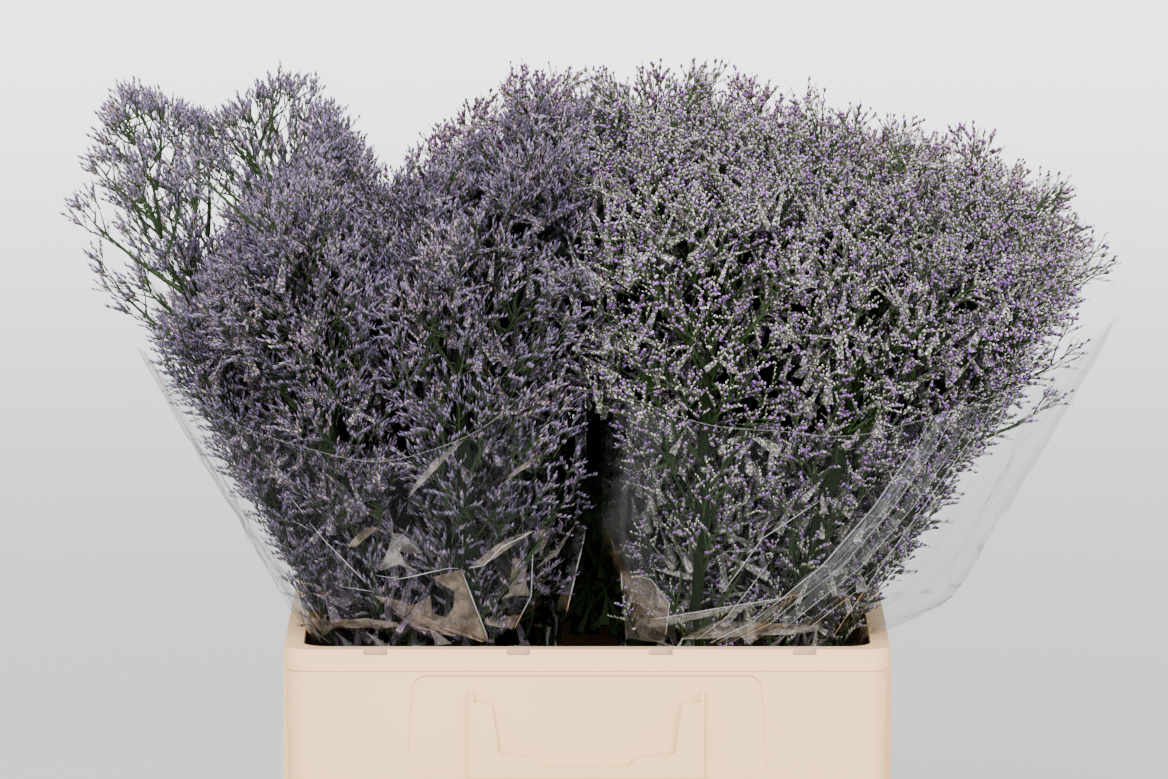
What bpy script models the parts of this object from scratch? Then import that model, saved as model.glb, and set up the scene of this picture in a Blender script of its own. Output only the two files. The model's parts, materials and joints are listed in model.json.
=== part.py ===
# Four sleeved bunches of sea lavender (statice) standing in a plastic flower crate.
# Metres, +Z up. The crate's long front wall faces -Y, and its underside lies on z = 0.

import math
import random

import bmesh
import bpy
from mathutils import Matrix, Vector

# Crate
CRATE_LENGTH = 0.390
CRATE_DEPTH = 0.290
CRATE_HEIGHT = 0.300
CRATE_WALL = 0.004
CRATE_FLOOR = 0.004
FOOT_INSET = 0.006
RIM_WIDTH = 0.012
RIM_HEIGHT = 0.015
RIM_STEP = 0.001
RIM_ROUNDING = 0.002
CORNER_RADIUS = 0.016
LIP_HEIGHT = 0.010
NOTCH_SIZE = (0.0155, 0.0035)
NOTCH_DEPTH = 0.004
NOTCH_PLACES = (-0.136, -0.044, 0.047, 0.139)
CUTTER_REACH = 0.020

# Label holder moulded on the front wall
PANEL_WIDTH = 0.226
PANEL_HEIGHT = 0.068
PANEL_TOP = CRATE_HEIGHT - RIM_HEIGHT - 0.002
PANEL_RECESS = 0.0016
PANEL_CORNER = 0.010
PANEL_FLARE = 0.003
HOLDER_WIDTH = 0.146
HOLDER_HEIGHT = 0.047
HOLDER_PLATE = 0.0022
HOLDER_GAP = 0.0018
HOLDER_WINDOW = (0.122, 0.034)
HOLDER_SILL = (0.034, 0.008)
HOLDER_ROUNDING = 0.003
HOLDER_ROOT = 0.0012
GUIDE_WIDTH = 0.0024
GUIDE_PROUD = 0.0004
GUIDE_RISE = 0.007
SHELF_THICKNESS = 0.0024
LEDGE_HEIGHT = 0.0035
LOWER_RECESS_HEIGHT = 0.050
LOWER_RECESS = 0.0012
LOWER_CORNER = 0.006

# Grips down the short walls
GRIP_LENGTH = 0.150
GRIP_OUT = 0.0045
GRIP_HEIGHT = 0.190
GRIP_ROOT = 0.002
GRIP_TOP = 0.003
GRIP_ROUNDING = 0.0015

# Film sleeves, given for the bunch at +x, +y and mirrored to the other three
FILM = 0.0008
SLEEVE_FOOT_CENTRE = (0.062, 0.048)
SLEEVE_FOOT_HALF = (0.042, 0.036)
SLEEVE_RIM_CLEARANCE = 0.0035
SLEEVE_GAP_AT_RIM = (0.021, 0.010)
SLEEVE_GAP = 0.0022
SLEEVE_GAP_CLOSES = 0.078
SLEEVE_FLARE = {-1: (0.62, 0.45), 1: (0.78, 0.45)}
SLEEVE_FLARE_EASE = 0.45
SLEEVE_POWER = 3.0
SLEEVE_SIDES = 20
SLEEVE_ROWS = (0.0, 0.55, 1.0)
SLEEVE_TOP_ROWS = (0.5, 1.0)
SLEEVE_DIP = {"front": 0.130, "back": 0.168}
SLEEVE_PEAK = {"front": 0.194, "back": 0.226}
SEAM_POWER = 1.6

# Bunches of flower stems
APEX = (0.060, 0.046, 0.030)
TIE_HEIGHT = 0.092
TIE_THICKNESS = 0.0012
TIE_CLEARANCE = 0.00035
TIE_SIDES = 16
TIE_DROP = 0.012
TIE_FLATNESS = 1.6
HEAD_HEIGHT = 0.230
HEAD_NEAR = (0.036, 0.032)
HEAD_FAR = (0.258, 0.186)
HEAD_RINGS = ((1.0, 7, 0.30), (0.46, 4, 0.75))
PLACE_DRIFT = 0.006
TOP_DRIFT = 0.022
NEAR_POWER = 5.0
FAR_POWER = 2.2
DOME = 0.20
STEM_RADIUS = 0.0015
TIP_RADIUS = 0.0008
CELL_MARGIN = 0.0009
CENTRE_CLEARANCE = 0.0018
SLEEVE_MARGIN = 0.94
OVER_SLEEVE = CRATE_HEIGHT + SLEEVE_PEAK["back"] + 0.004
STEM_TOP = CRATE_HEIGHT - 0.026
CORE_FOOT = CRATE_HEIGHT + 0.004
CORE_SIDES = 6
CORE_SHARE = 0.56
CORE_LARGEST = 0.027
CORE_PITCH = {"outer": 0.036, "inner": 0.050}
CORE_TIP = 0.030
CORE_TAPER = (0.72, 2.6)
CORE_FOOT_SWELL = 0.45
FLORET_REACH = 0.042
FLORET_SHORTEST = 0.006
FLORET_LEAN = math.radians(42)
OUTER_COUNT = HEAD_RINGS[0][1]
AIRY_SPRAYS = {"front_left": (0, 1, 6, 10), "back_left": (0, 1, 6, 10), "back_right": (0,)}
AIRY_FROM = 0.235
LEADER_ROOT = 0.045
BRANCH_FROM = 0.020
BRANCH_PITCH = 0.030
BRANCH_REACH = 0.082
BRANCH_SHORTEST = 0.026
BRANCH_TRIES = 7
BRANCH_ANGLE = math.radians(40)
BRANCH_RADIUS = 0.0013
CLUSTER_LENGTH = 0.040
CLUSTER_RADIUS = 0.0088
CLUSTER_ANGLE = math.radians(46)
CLUSTER_WAIST = 0.58
GOLDEN_ANGLE = math.pi * (3 - math.sqrt(5))
GAP = 0.0003

# Outline of the flowers seen from the front: place along the crate, height over the rim.
# A head's tip leans out past its place at the reference height by the stretch.
OUTLINE_STRETCH = 1.12
OUTLINE = (
    (-0.340, 0.225), (-0.305, 0.340), (-0.270, 0.336), (-0.235, 0.326), (-0.186, 0.362),
    (-0.153, 0.305), (-0.127, 0.282), (-0.101, 0.305), (-0.069, 0.326), (-0.040, 0.350),
    (0.034, 0.345), (0.073, 0.348), (0.141, 0.328), (0.190, 0.315), (0.248, 0.305),
    (0.296, 0.276), (0.340, 0.220),
)

BUNCHES = {
    "front_left": (-1, -1),
    "front_right": (1, -1),
    "back_left": (-1, 1),
    "back_right": (1, 1),
}

FILM_COLOUR = (0.80, 0.82, 0.82, 1.0)
CRATE_COLOUR = (0.80, 0.68, 0.56, 1.0)
BAND_COLOUR = (0.55, 0.40, 0.22, 1.0)
SPRAY_COLOURS = {
    "front_left": (0.26, 0.20, 0.42, 1.0),
    "front_right": (0.32, 0.26, 0.42, 1.0),
    "back_left": (0.24, 0.19, 0.40, 1.0),
    "back_right": (0.30, 0.20, 0.42, 1.0),
}


def clear_scene():
    for thing in list(bpy.data.objects):
        bpy.data.objects.remove(thing)


def new_collection(name):
    collection = bpy.data.collections.new(name)
    bpy.context.scene.collection.children.link(collection)
    return collection


def principled(name, colour, roughness, metallic=0.0):
    material = bpy.data.materials.new(name)
    material.use_nodes = True
    shader = material.node_tree.nodes["Principled BSDF"]
    shader.inputs["Base Color"].default_value = colour
    shader.inputs["Roughness"].default_value = roughness
    shader.inputs["Metallic"].default_value = metallic
    return material


def extrude(bm, face):
    """Extrudes an end face in place. Gives the new end face and its vertices."""
    attached = any(len(edge.link_faces) > 1 for edge in face.edges)
    grown = bmesh.ops.extrude_face_region(bm, geom=[face])["geom"]
    if attached and face.is_valid:
        bmesh.ops.delete(bm, geom=[face], context="FACES_ONLY")
    moved = [part for part in grown if isinstance(part, bmesh.types.BMVert)]
    end = [part for part in grown if isinstance(part, bmesh.types.BMFace)][0]
    return end, moved


def mesh_object(bm, name, collection, material=None):
    mesh = bpy.data.meshes.new(name)
    bm.to_mesh(mesh)
    bm.free()
    thing = bpy.data.objects.new(name, mesh)
    collection.objects.link(thing)
    if material:
        mesh.materials.append(material)
    return thing


def apply_modifiers(thing):
    graph = bpy.context.evaluated_depsgraph_get()
    mesh = bpy.data.meshes.new_from_object(thing.evaluated_get(graph))
    thing.modifiers.clear()
    thing.data = mesh


def boolean(thing, tools, operation, solver="EXACT"):
    """Joins or cuts with every object of a collection, then removes them."""
    step = thing.modifiers.new(operation.lower(), "BOOLEAN")
    step.operation = operation
    step.solver = solver
    step.operand_type = "COLLECTION"
    step.collection = tools
    apply_modifiers(thing)
    for tool in list(tools.objects):
        bpy.data.objects.remove(tool)
    bpy.data.collections.remove(tools)


def block(collection, name, low, high):
    bm = bmesh.new()
    bmesh.ops.create_cube(bm, size=1.0)
    size = [high[i] - low[i] for i in range(3)]
    middle = [(high[i] + low[i]) / 2 for i in range(3)]
    bmesh.ops.scale(bm, vec=size, verts=bm.verts)
    bmesh.ops.translate(bm, vec=middle, verts=bm.verts)
    return mesh_object(bm, name, collection)


def plate(collection, name, outline, front, back):
    """A flat outline of (x, z) points, standing upright between two y planes."""
    bm = bmesh.new()
    corners = [bm.verts.new((x, front, z)) for x, z in outline]
    face = bm.faces.new(corners)
    face, moved = extrude(bm, face)
    bmesh.ops.translate(bm, vec=(0, back - front, 0), verts=moved)
    bmesh.ops.recalc_face_normals(bm, faces=bm.faces)
    return mesh_object(bm, name, collection)


def arc(centre_x, centre_z, radius, start, end, steps):
    points = []
    for i in range(steps + 1):
        angle = math.radians(start + (end - start) * i / steps)
        points.append((centre_x + radius * math.cos(angle), centre_z + radius * math.sin(angle)))
    return points


def rounded_block(collection, name, levels, corner):
    """A rounded rectangle carried up through levels of (length, depth, height)."""
    length, depth, height = levels[0]
    bm = bmesh.new()
    bmesh.ops.create_grid(bm, x_segments=1, y_segments=1, size=0.5)
    bmesh.ops.scale(bm, vec=(length, depth, 1), verts=bm.verts)
    bmesh.ops.translate(bm, vec=(0, 0, height), verts=bm.verts)
    bmesh.ops.bevel(bm, geom=bm.verts[:], offset=corner, offset_type="OFFSET", segments=4,
                    profile=0.5, affect="VERTICES", material=-1)
    face = max(bm.faces, key=lambda item: item.calc_area())
    for next_length, next_depth, next_height in levels[1:]:
        face, moved = extrude(bm, face)
        bmesh.ops.scale(bm, vec=(next_length / length, next_depth / depth, 1), verts=moved)
        bmesh.ops.translate(bm, vec=(0, 0, next_height - height), verts=moved)
        length, depth, height = next_length, next_depth, next_height
    bmesh.ops.recalc_face_normals(bm, faces=bm.faces)
    return mesh_object(bm, name, collection)


def wall_y(height):
    """The front wall's outer face at a height."""
    drafted = FOOT_INSET * (1 - height / (CRATE_HEIGHT - RIM_HEIGHT))
    return -(CRATE_DEPTH / 2 - RIM_STEP - drafted)


def panel_cutters(cutters):
    """The shallow panel round the label holder, and the recess under its ledge."""
    top = PANEL_TOP
    half = PANEL_WIDTH / 2
    corner = PANEL_CORNER
    ledge_bottom = top - PANEL_HEIGHT
    ledge_top = ledge_bottom + LEDGE_HEIGHT
    outline = [(-half - PANEL_FLARE, ledge_top), (half + PANEL_FLARE, ledge_top)]
    outline += arc(half - corner, top - corner, corner, 0, 90, 4)
    outline += arc(-half + corner, top - corner, corner, 90, 180, 4)
    back = wall_y(top) + PANEL_RECESS
    plate(cutters, "panel", outline, back - CUTTER_REACH, back)
    bottom = ledge_bottom - LOWER_RECESS_HEIGHT
    corner = LOWER_CORNER
    lower = arc(half - corner, ledge_bottom - corner, corner, 0, 90, 3)
    lower += arc(-half + corner, ledge_bottom - corner, corner, 90, 180, 3)
    lower += [(-half, bottom), (half, bottom)]
    lower_back = wall_y(bottom) + LOWER_RECESS
    plate(cutters, "lower_recess", lower, lower_back - CUTTER_REACH, lower_back)


def notch_cutters(cutters):
    """The small notches in the rim over the long walls."""
    wide, tall = NOTCH_SIZE
    for place in NOTCH_PLACES:
        for side in (-1, 1):
            edge = side * CRATE_DEPTH / 2
            low = (place - wide / 2, edge - NOTCH_DEPTH, CRATE_HEIGHT - tall)
            high = (place + wide / 2, edge + NOTCH_DEPTH, CRATE_HEIGHT + CUTTER_REACH)
            block(cutters, "notch", low, high)


def holder_outline():
    """The U-shaped plate that holds a label, seen from the front, as (x, z) points."""
    bottom = PANEL_TOP - PANEL_HEIGHT + 0.001
    top = PANEL_TOP - PANEL_HEIGHT + LEDGE_HEIGHT + HOLDER_HEIGHT
    half = HOLDER_WIDTH / 2
    window = HOLDER_WINDOW[0] / 2
    sill = top - HOLDER_WINDOW[1]
    soft = HOLDER_ROUNDING
    right = [(half, bottom), (half, top), (window + 0.004, top)]
    right += arc(window + soft, top - soft, soft, 90, 170, 2)
    right += arc(window - 0.007, sill + soft, soft, 0, -80, 2)
    right += [(window - HOLDER_SILL[0] + 0.004, sill - soft),
              (window - HOLDER_SILL[0], sill - HOLDER_SILL[1])]
    left = [(-x, z) for x, z in reversed(right)]
    return right + left


def crate_shell(parts):
    """The crate's outer form: drafted walls under a rim that stands a little proud."""
    foot = 2 * FOOT_INSET
    step = 2 * RIM_STEP
    soft = RIM_ROUNDING
    length, depth, height = CRATE_LENGTH, CRATE_DEPTH, CRATE_HEIGHT
    under_rim = height - RIM_HEIGHT
    outer = [
        (length - foot - 2 * soft, depth - foot - 2 * soft, 0.0),
        (length - foot, depth - foot, soft),
        (length - step, depth - step, under_rim),
        (length, depth, under_rim + RIM_STEP),
        (length, depth, height - soft),
        (length - soft * 0.6, depth - soft * 0.6, height - soft * 0.3),
        (length - soft * 2, depth - soft * 2, height),
    ]
    return rounded_block(parts, "crate", outer, CORNER_RADIUS)


def add_grips(shell):
    """A raised pad down the middle of each short wall."""
    grips = new_collection("crate_grips")
    under_rim = CRATE_HEIGHT - RIM_HEIGHT
    for side in (-1, 1):
        edge = side * (CRATE_LENGTH / 2 - RIM_STEP)
        low_x, high_x = sorted((edge - side * GRIP_ROOT, edge + side * (GRIP_OUT - RIM_STEP)))
        grip = block(grips, "grip", (low_x, -GRIP_LENGTH / 2, under_rim - GRIP_HEIGHT),
                     (high_x, GRIP_LENGTH / 2, under_rim + GRIP_TOP))
        bevel = grip.modifiers.new("soft", "BEVEL")
        bevel.width = GRIP_ROUNDING
        bevel.segments = 1
    boolean(shell, grips, "UNION")


def hollow_out(shell):
    """Cuts the crate's inside under its wide lip, the front panel and the notches."""
    cutters = new_collection("crate_cutters")
    foot = 2 * (FOOT_INSET + CRATE_WALL)
    wall = 2 * (RIM_STEP + CRATE_WALL)
    lip = 2 * RIM_WIDTH
    length, depth, height = CRATE_LENGTH, CRATE_DEPTH, CRATE_HEIGHT
    under_rim = height - RIM_HEIGHT
    inner = [
        (length - foot, depth - foot, CRATE_FLOOR),
        (length - wall, depth - wall, under_rim - LIP_HEIGHT),
        (length - lip, depth - lip, under_rim),
        (length - lip, depth - lip, height + CUTTER_REACH),
    ]
    rounded_block(cutters, "inside", inner, CORNER_RADIUS)
    panel_cutters(cutters)
    notch_cutters(cutters)
    boolean(shell, cutters, "DIFFERENCE")


def add_label_holder(shell):
    """The U-shaped plate with a guide at each side and a shelf, moulded on the front panel."""
    holder = new_collection("crate_holder")
    panel_y = wall_y(PANEL_TOP) + PANEL_RECESS
    face_y = panel_y - HOLDER_GAP - HOLDER_PLATE
    root_y = panel_y + HOLDER_ROOT
    half = HOLDER_WIDTH / 2
    outline = holder_outline()
    plate(holder, "holder", outline, face_y, face_y + HOLDER_PLATE)
    top = max(z for x, z in outline)
    bottom = min(z for x, z in outline)
    for side in (-1, 1):
        low_x, high_x = sorted((side * half, side * (half + GUIDE_WIDTH)))
        block(holder, "guide", (low_x, face_y - GUIDE_PROUD, bottom),
              (high_x, root_y, top + GUIDE_RISE))
    low = (-half - GUIDE_WIDTH / 2, face_y + GAP, bottom - 0.0001)
    high = (half + GUIDE_WIDTH / 2, root_y, bottom + SHELF_THICKNESS)
    block(holder, "shelf", low, high)
    boolean(shell, holder, "UNION")


def make_crate(parts, material):
    shell = crate_shell(parts)
    add_grips(shell)
    hollow_out(shell)
    add_label_holder(shell)
    shell.data.materials.clear()
    shell.data.materials.append(material)


def outline_height(x):
    """The flowers' height over the rim at a place along the crate."""
    for (x0, z0), (x1, z1) in zip(OUTLINE, OUTLINE[1:]):
        if x <= x1:
            share = max(0.0, (x - x0) / (x1 - x0))
            return z0 + (z1 - z0) * share
    return OUTLINE[-1][1]


def sleeve_section(z, side):
    """Centre and half sizes of a sleeve's section at a height, as if it stood at +x, +y."""
    over = z - CRATE_HEIGHT
    centre, half = [], []
    inside = (CRATE_LENGTH / 2 - RIM_WIDTH, CRATE_DEPTH / 2 - RIM_WIDTH)
    for i in range(2):
        far_at_rim = inside[i] - SLEEVE_RIM_CLEARANCE
        near_at_rim = SLEEVE_GAP_AT_RIM[i]
        if over <= 0:
            share = max(0.0, (z - CRATE_FLOOR) / (CRATE_HEIGHT - CRATE_FLOOR))
            foot_near = SLEEVE_FOOT_CENTRE[i] - SLEEVE_FOOT_HALF[i]
            foot_far = SLEEVE_FOOT_CENTRE[i] + SLEEVE_FOOT_HALF[i]
            near = foot_near + (near_at_rim - foot_near) * share
            far = foot_far + (far_at_rim - foot_far) * share
        else:
            closed = min(1.0, over / SLEEVE_GAP_CLOSES)
            near = near_at_rim + (SLEEVE_GAP - near_at_rim) * closed
            far = far_at_rim + SLEEVE_FLARE[side][i] * over * (1 - SLEEVE_FLARE_EASE * over)
        centre.append((near + far) / 2)
        half.append((far - near) / 2)
    return centre, half


def on_sleeve(angle, z, signs):
    """A point of a sleeve's wall, round the bunch by an angle and at a height."""
    centre, half = sleeve_section(z, signs[0])
    c, s = math.cos(angle), math.sin(angle)
    spread = (abs(c) ** SLEEVE_POWER + abs(s) ** SLEEVE_POWER) ** (-1 / SLEEVE_POWER)
    return Vector((signs[0] * (centre[0] + half[0] * c * spread),
                   signs[1] * (centre[1] + half[1] * s * spread), z))


def sleeve_top(angle, row):
    """The sleeve's upper edge: high at its two side seams, cut lower between them."""
    seam = abs(math.cos(angle)) ** SEAM_POWER
    return CRATE_HEIGHT + SLEEVE_DIP[row] + (SLEEVE_PEAK[row] - SLEEVE_DIP[row]) * seam


def make_sleeve(parts, name, signs, material):
    """A cone of clear film, open at both ends, from the crate's floor to its cut edge."""
    row_name = name.split("_")[0]
    foot = CRATE_FLOOR + GAP
    bm = bmesh.new()
    rings = []
    closed = CRATE_HEIGHT + SLEEVE_GAP_CLOSES
    heights = [("fixed", foot + (CRATE_HEIGHT - foot) * share) for share in SLEEVE_ROWS]
    heights += [("fixed", closed)] + [("edge", share) for share in SLEEVE_TOP_ROWS]
    for kind, value in heights:
        ring = bmesh.ops.create_circle(bm, segments=SLEEVE_SIDES, radius=1.0)["verts"]
        for i, vert in enumerate(ring):
            angle = 2 * math.pi * i / SLEEVE_SIDES
            z = value
            if kind == "edge":
                z = closed + (sleeve_top(angle, row_name) - closed) * value
            vert.co = on_sleeve(angle, z, signs)
        rings.append(ring)
    for lower, upper in zip(rings, rings[1:]):
        edges = []
        for ring in (lower, upper):
            for i, vert in enumerate(ring):
                edges.append(bm.edges.get((vert, ring[(i + 1) % SLEEVE_SIDES])))
        bmesh.ops.bridge_loops(bm, edges=list(dict.fromkeys(edges)))
    bmesh.ops.recalc_face_normals(bm, faces=bm.faces)
    sleeve = mesh_object(bm, "film_sleeve_" + name, parts, material)
    wall = sleeve.modifiers.new("wall", "SOLIDIFY")
    wall.thickness = FILM
    wall.offset = -1


def ring_matrix(point, direction):
    return Matrix.Translation(point) @ direction.to_track_quat("Z", "Y").to_matrix().to_4x4()


def tube(collection, path, radii, sides, roll=0.0):
    """A tapering stem along a path. A last radius of zero closes it to a point."""
    bm = bmesh.new()
    frames = []
    for i, point in enumerate(path):
        ahead = path[min(i + 1, len(path) - 1)] - path[max(i - 1, 0)]
        frames.append(ring_matrix(point, ahead.normalized()) @ Matrix.Rotation(roll, 4, "Z"))
    bmesh.ops.create_circle(bm, cap_ends=True, segments=sides, radius=radii[0],
                            matrix=frames[0])
    face = bm.faces[:][0]
    for i in range(1, len(path)):
        face, moved = extrude(bm, face)
        if radii[i] == 0:
            bmesh.ops.pointmerge(bm, verts=moved, merge_co=path[i])
            break
        size = Matrix.Scale(radii[i] / radii[i - 1], 4)
        bmesh.ops.transform(bm, matrix=frames[i] @ size @ frames[i - 1].inverted(), verts=moved)
    bmesh.ops.recalc_face_normals(bm, faces=bm.faces)
    mesh_object(bm, "tube", collection)


def cluster(collection, root, tip, radius, roll):
    """A three-sided cluster of florets, wide above its middle and pointed at both ends."""
    bm = bmesh.new()
    across = root.lerp(tip, CLUSTER_WAIST)
    frame = ring_matrix(across, (tip - root).normalized()) @ Matrix.Rotation(roll, 4, "Z")
    bmesh.ops.create_circle(bm, cap_ends=True, segments=3, radius=radius, matrix=frame)
    face = bm.faces[:][0]
    face, moved = extrude(bm, face)
    bmesh.ops.pointmerge(bm, verts=moved, merge_co=tip)
    bmesh.ops.recalc_face_normals(bm, faces=bm.faces)
    under = min(bm.faces, key=lambda item: item.calc_center_median().dot(tip - root))
    centre = bmesh.ops.poke(bm, faces=[under])["verts"]
    centre[0].co = root
    mesh_object(bm, "cluster", collection)


def head_places(signs, rng):
    """Where a bunch's stems pass the reference height: rings of places, then a little drift."""
    places = []
    middle = [(HEAD_NEAR[i] + HEAD_FAR[i]) / 2 for i in range(2)]
    half = [(HEAD_FAR[i] - HEAD_NEAR[i]) / 2 for i in range(2)]
    for size, count, turn in HEAD_RINGS:
        for i in range(count):
            angle = turn + math.tau * i / count
            c, s = math.cos(angle), math.sin(angle)
            power = FAR_POWER if c > 0 and s > 0 else NEAR_POWER
            spread = size * (abs(c) ** power + abs(s) ** power) ** (-1 / power)
            x = middle[0] + half[0] * c * spread + rng.uniform(-PLACE_DRIFT, PLACE_DRIFT)
            y = middle[1] + half[1] * s * spread + rng.uniform(-PLACE_DRIFT, PLACE_DRIFT)
            places.append((signs[0] * x, signs[1] * y))
    return places


class Cell:
    """The space one flower stem may fill: nearer to its own line than to its neighbours'."""

    def __init__(self, index, lines, apex, signs):
        self.apex = apex
        self.signs = signs
        own = lines[index]
        self.walls = [(own - other).normalized() for k, other in enumerate(lines) if k != index]
        self.own = own

    def on_line(self, height):
        return self.apex + self.own * ((height - self.apex.z) / self.own.z)

    def holds(self, points):
        for point in points:
            reach = point - self.apex
            if any(reach.dot(wall) < CELL_MARGIN for wall in self.walls):
                return False
            if not self.clear_of_sleeve(point):
                return False
        return True

    def clear_of_sleeve(self, point):
        x, y = point.x * self.signs[0], point.y * self.signs[1]
        if min(x, y) < SLEEVE_GAP + CENTRE_CLEARANCE:
            return False
        if point.z > OVER_SLEEVE:
            return True
        centre, half = sleeve_section(point.z, self.signs[0])
        u = abs(x - centre[0]) / half[0]
        v = abs(y - centre[1]) / half[1]
        return (u ** SLEEVE_POWER + v ** SLEEVE_POWER) ** (1 / SLEEVE_POWER) < SLEEVE_MARGIN


def cluster_points(root, tip, radius):
    """Points round a cluster that stand for all of it, because a cell is convex."""
    across = root.lerp(tip, CLUSTER_WAIST)
    frame = ring_matrix(across, (tip - root).normalized())
    ring = [frame @ Vector((radius * math.cos(a), radius * math.sin(a), 0))
            for a in (0, math.pi / 2, math.pi, 3 * math.pi / 2)]
    return ring + [tip]


def turned(direction, azimuth, angle):
    """A direction leaned away from another by an angle, towards an azimuth round it."""
    frame = direction.to_track_quat("Z", "Y")
    local = Vector((math.sin(angle) * math.cos(azimuth), math.sin(angle) * math.sin(azimuth),
                    math.cos(angle)))
    return frame @ local


def grow_branch(bits, cell, root, azimuth, reach, rng):
    """One side branch, shortened until it and its clusters stay in the cell."""
    for attempt in range(BRANCH_TRIES):
        length = reach * (1 - 0.11 * attempt)
        turn = azimuth + (0.5 * attempt if attempt % 2 else -0.5 * attempt)
        if length < BRANCH_SHORTEST:
            return
        lean = BRANCH_ANGLE * rng.uniform(0.85, 1.15)
        out = turned(cell.own, turn, lean)
        up = turned(cell.own, turn, lean * 0.55)
        bend = root + out * length * 0.5
        seat = bend + up * length * 0.3
        size = CLUSTER_LENGTH * rng.uniform(0.9, 1.15)
        tip = seat + up * size
        radius = CLUSTER_RADIUS * rng.uniform(0.85, 1.1)
        if cell.holds([bend, seat] + cluster_points(seat, tip, radius)):
            break
    else:
        return
    start = root - out * STEM_RADIUS * 0.4
    middle = seat.lerp(tip, 0.55)
    tube(bits, [start, bend, seat, middle, tip],
         [BRANCH_RADIUS, BRANCH_RADIUS, BRANCH_RADIUS * 0.85, radius, 0], 3,
         rng.uniform(0, math.tau))
    grow_side_cluster(bits, cell, root.lerp(bend, 0.93), up, rng)


def grow_side_cluster(bits, cell, base, up, rng):
    """A second cluster at a branch's bend, turned and shortened until it stays in the cell."""
    side = turned(up, rng.uniform(0, math.tau), CLUSTER_ANGLE)
    for shrink in (1.0, 0.8, 0.65):
        radius = CLUSTER_RADIUS * shrink
        end = base + side * CLUSTER_LENGTH * 0.9 * shrink
        if cell.holds(cluster_points(base, end, radius)):
            cluster(bits, base, end, radius, rng.uniform(0, math.tau))
            return
        side = turned(up, rng.uniform(0, math.tau), CLUSTER_ANGLE * 0.8)


def cell_reach(cell, centre, direction, furthest):
    """How far a point can move from the stem's line before it leaves the cell."""
    reach = furthest
    while reach > STEM_RADIUS and not cell.holds([centre + direction * reach]):
        reach -= 0.0015
    return max(reach, STEM_RADIUS)


def head_rings(cell, low, top, pitch, rng):
    """The lobed core of a dense head: a ring of points at each level, then its tip."""
    rows = max(3, round((top - low) / pitch))
    rings = []
    for row in range(rows):
        share = row / (rows - 1)
        height = low + (top - CORE_TIP - low) * share
        centre = cell.on_line(height)
        swell = 1.0 - CORE_TAPER[0] * share ** CORE_TAPER[1]
        if row == 0:
            swell = CORE_FOOT_SWELL
        ring = []
        for k in range(CORE_SIDES):
            angle = math.tau * (k + 0.5 * (row % 2)) / CORE_SIDES
            direction = turned(cell.own, angle, math.pi / 2)
            reach = cell_reach(cell, centre, direction, CORE_LARGEST / CORE_SHARE)
            size = reach * CORE_SHARE * swell * rng.uniform(0.85, 1.1)
            ring.append(centre + direction * max(size, STEM_RADIUS * 1.3))
        rings.append(ring)
    return rings


def raise_florets(bm, faces, cell, rng):
    """Raises each face of the core to a pointed cluster that leans up along the stem."""
    for face in faces:
        centre = face.calc_center_median()
        outward = centre - cell.on_line(centre.z)
        outward -= cell.own * outward.dot(cell.own)
        lean = FLORET_LEAN * rng.uniform(0.75, 1.2)
        way = outward.normalized() * math.sin(lean) + cell.own * math.cos(lean)
        reach = FLORET_REACH * rng.uniform(0.7, 1.1)
        while reach > FLORET_SHORTEST and not cell.holds([centre + way * reach]):
            reach -= 0.002
        tip = bmesh.ops.poke(bm, faces=[face])["verts"][0]
        tip.co = centre + way * reach


def stem_foot(cell):
    """The stem's straight end: its cut foot on the crate's floor and its place at the tie."""
    tie = cell.on_line(TIE_HEIGHT)
    return Vector((tie.x, tie.y, CRATE_FLOOR + GAP)), tie


def stem_rings(cell):
    """The stem's own rings of points, from its cut foot up to just under its head."""
    foot, tie = stem_foot(cell)
    upright = Vector((0, 0, 1))
    rings = []
    for point, way in ((foot, upright), (tie, upright), (cell.on_line(STEM_TOP), cell.own)):
        rings.append([point + turned(way, math.tau * k / CORE_SIDES, math.pi / 2) * STEM_RADIUS
                      for k in range(CORE_SIDES)])
    return rings


def band_of_triangles(bm, lower, upper, half_turned):
    """Joins two rings of corners by triangles. The upper one may be turned by half a side."""
    faces = []
    for k in range(CORE_SIDES):
        j = (k + 1) % CORE_SIDES
        if half_turned:
            made = [(lower[k], lower[j], upper[k]), (lower[j], upper[j], upper[k])]
        else:
            made = [(lower[k], lower[j], upper[j]), (lower[k], upper[j], upper[k])]
        faces += [bm.faces.new(corners) for corners in made]
    return faces


def make_spray(parts, name, cell, top, pitch, airy, material, rng):
    """One flower stem with its head: the stem's tube widens into a core set with florets."""
    core_top = min(top, CRATE_HEIGHT + AIRY_FROM) if airy else top
    bm = bmesh.new()
    levels = stem_rings(cell)
    first_row = len(levels)
    levels += head_rings(cell, CORE_FOOT, core_top, pitch, rng)
    rings = [[bm.verts.new(point) for point in level] for level in levels]
    heads = []
    for row, (lower, upper) in enumerate(zip(rings, rings[1:]), start=1):
        half_turned = row > first_row and (row - first_row) % 2 == 1
        faces = band_of_triangles(bm, lower, upper, half_turned)
        if row > first_row:
            heads += faces
    bm.faces.new(list(reversed(rings[0])))
    cap = bmesh.ops.poke(bm, faces=[bm.faces.new(rings[-1])])["verts"][0]
    cap.co = cell.on_line(core_top)
    bmesh.ops.recalc_face_normals(bm, faces=bm.faces)
    raise_florets(bm, heads, cell, rng)
    spray = mesh_object(bm, name, parts, material)
    if airy:
        bits = new_collection(name + "_bits")
        airy_top(bits, cell, core_top, top, rng)
        boolean(spray, bits, "UNION", "MANIFOLD")
        spray.data.materials.clear()
        spray.data.materials.append(material)


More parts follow.
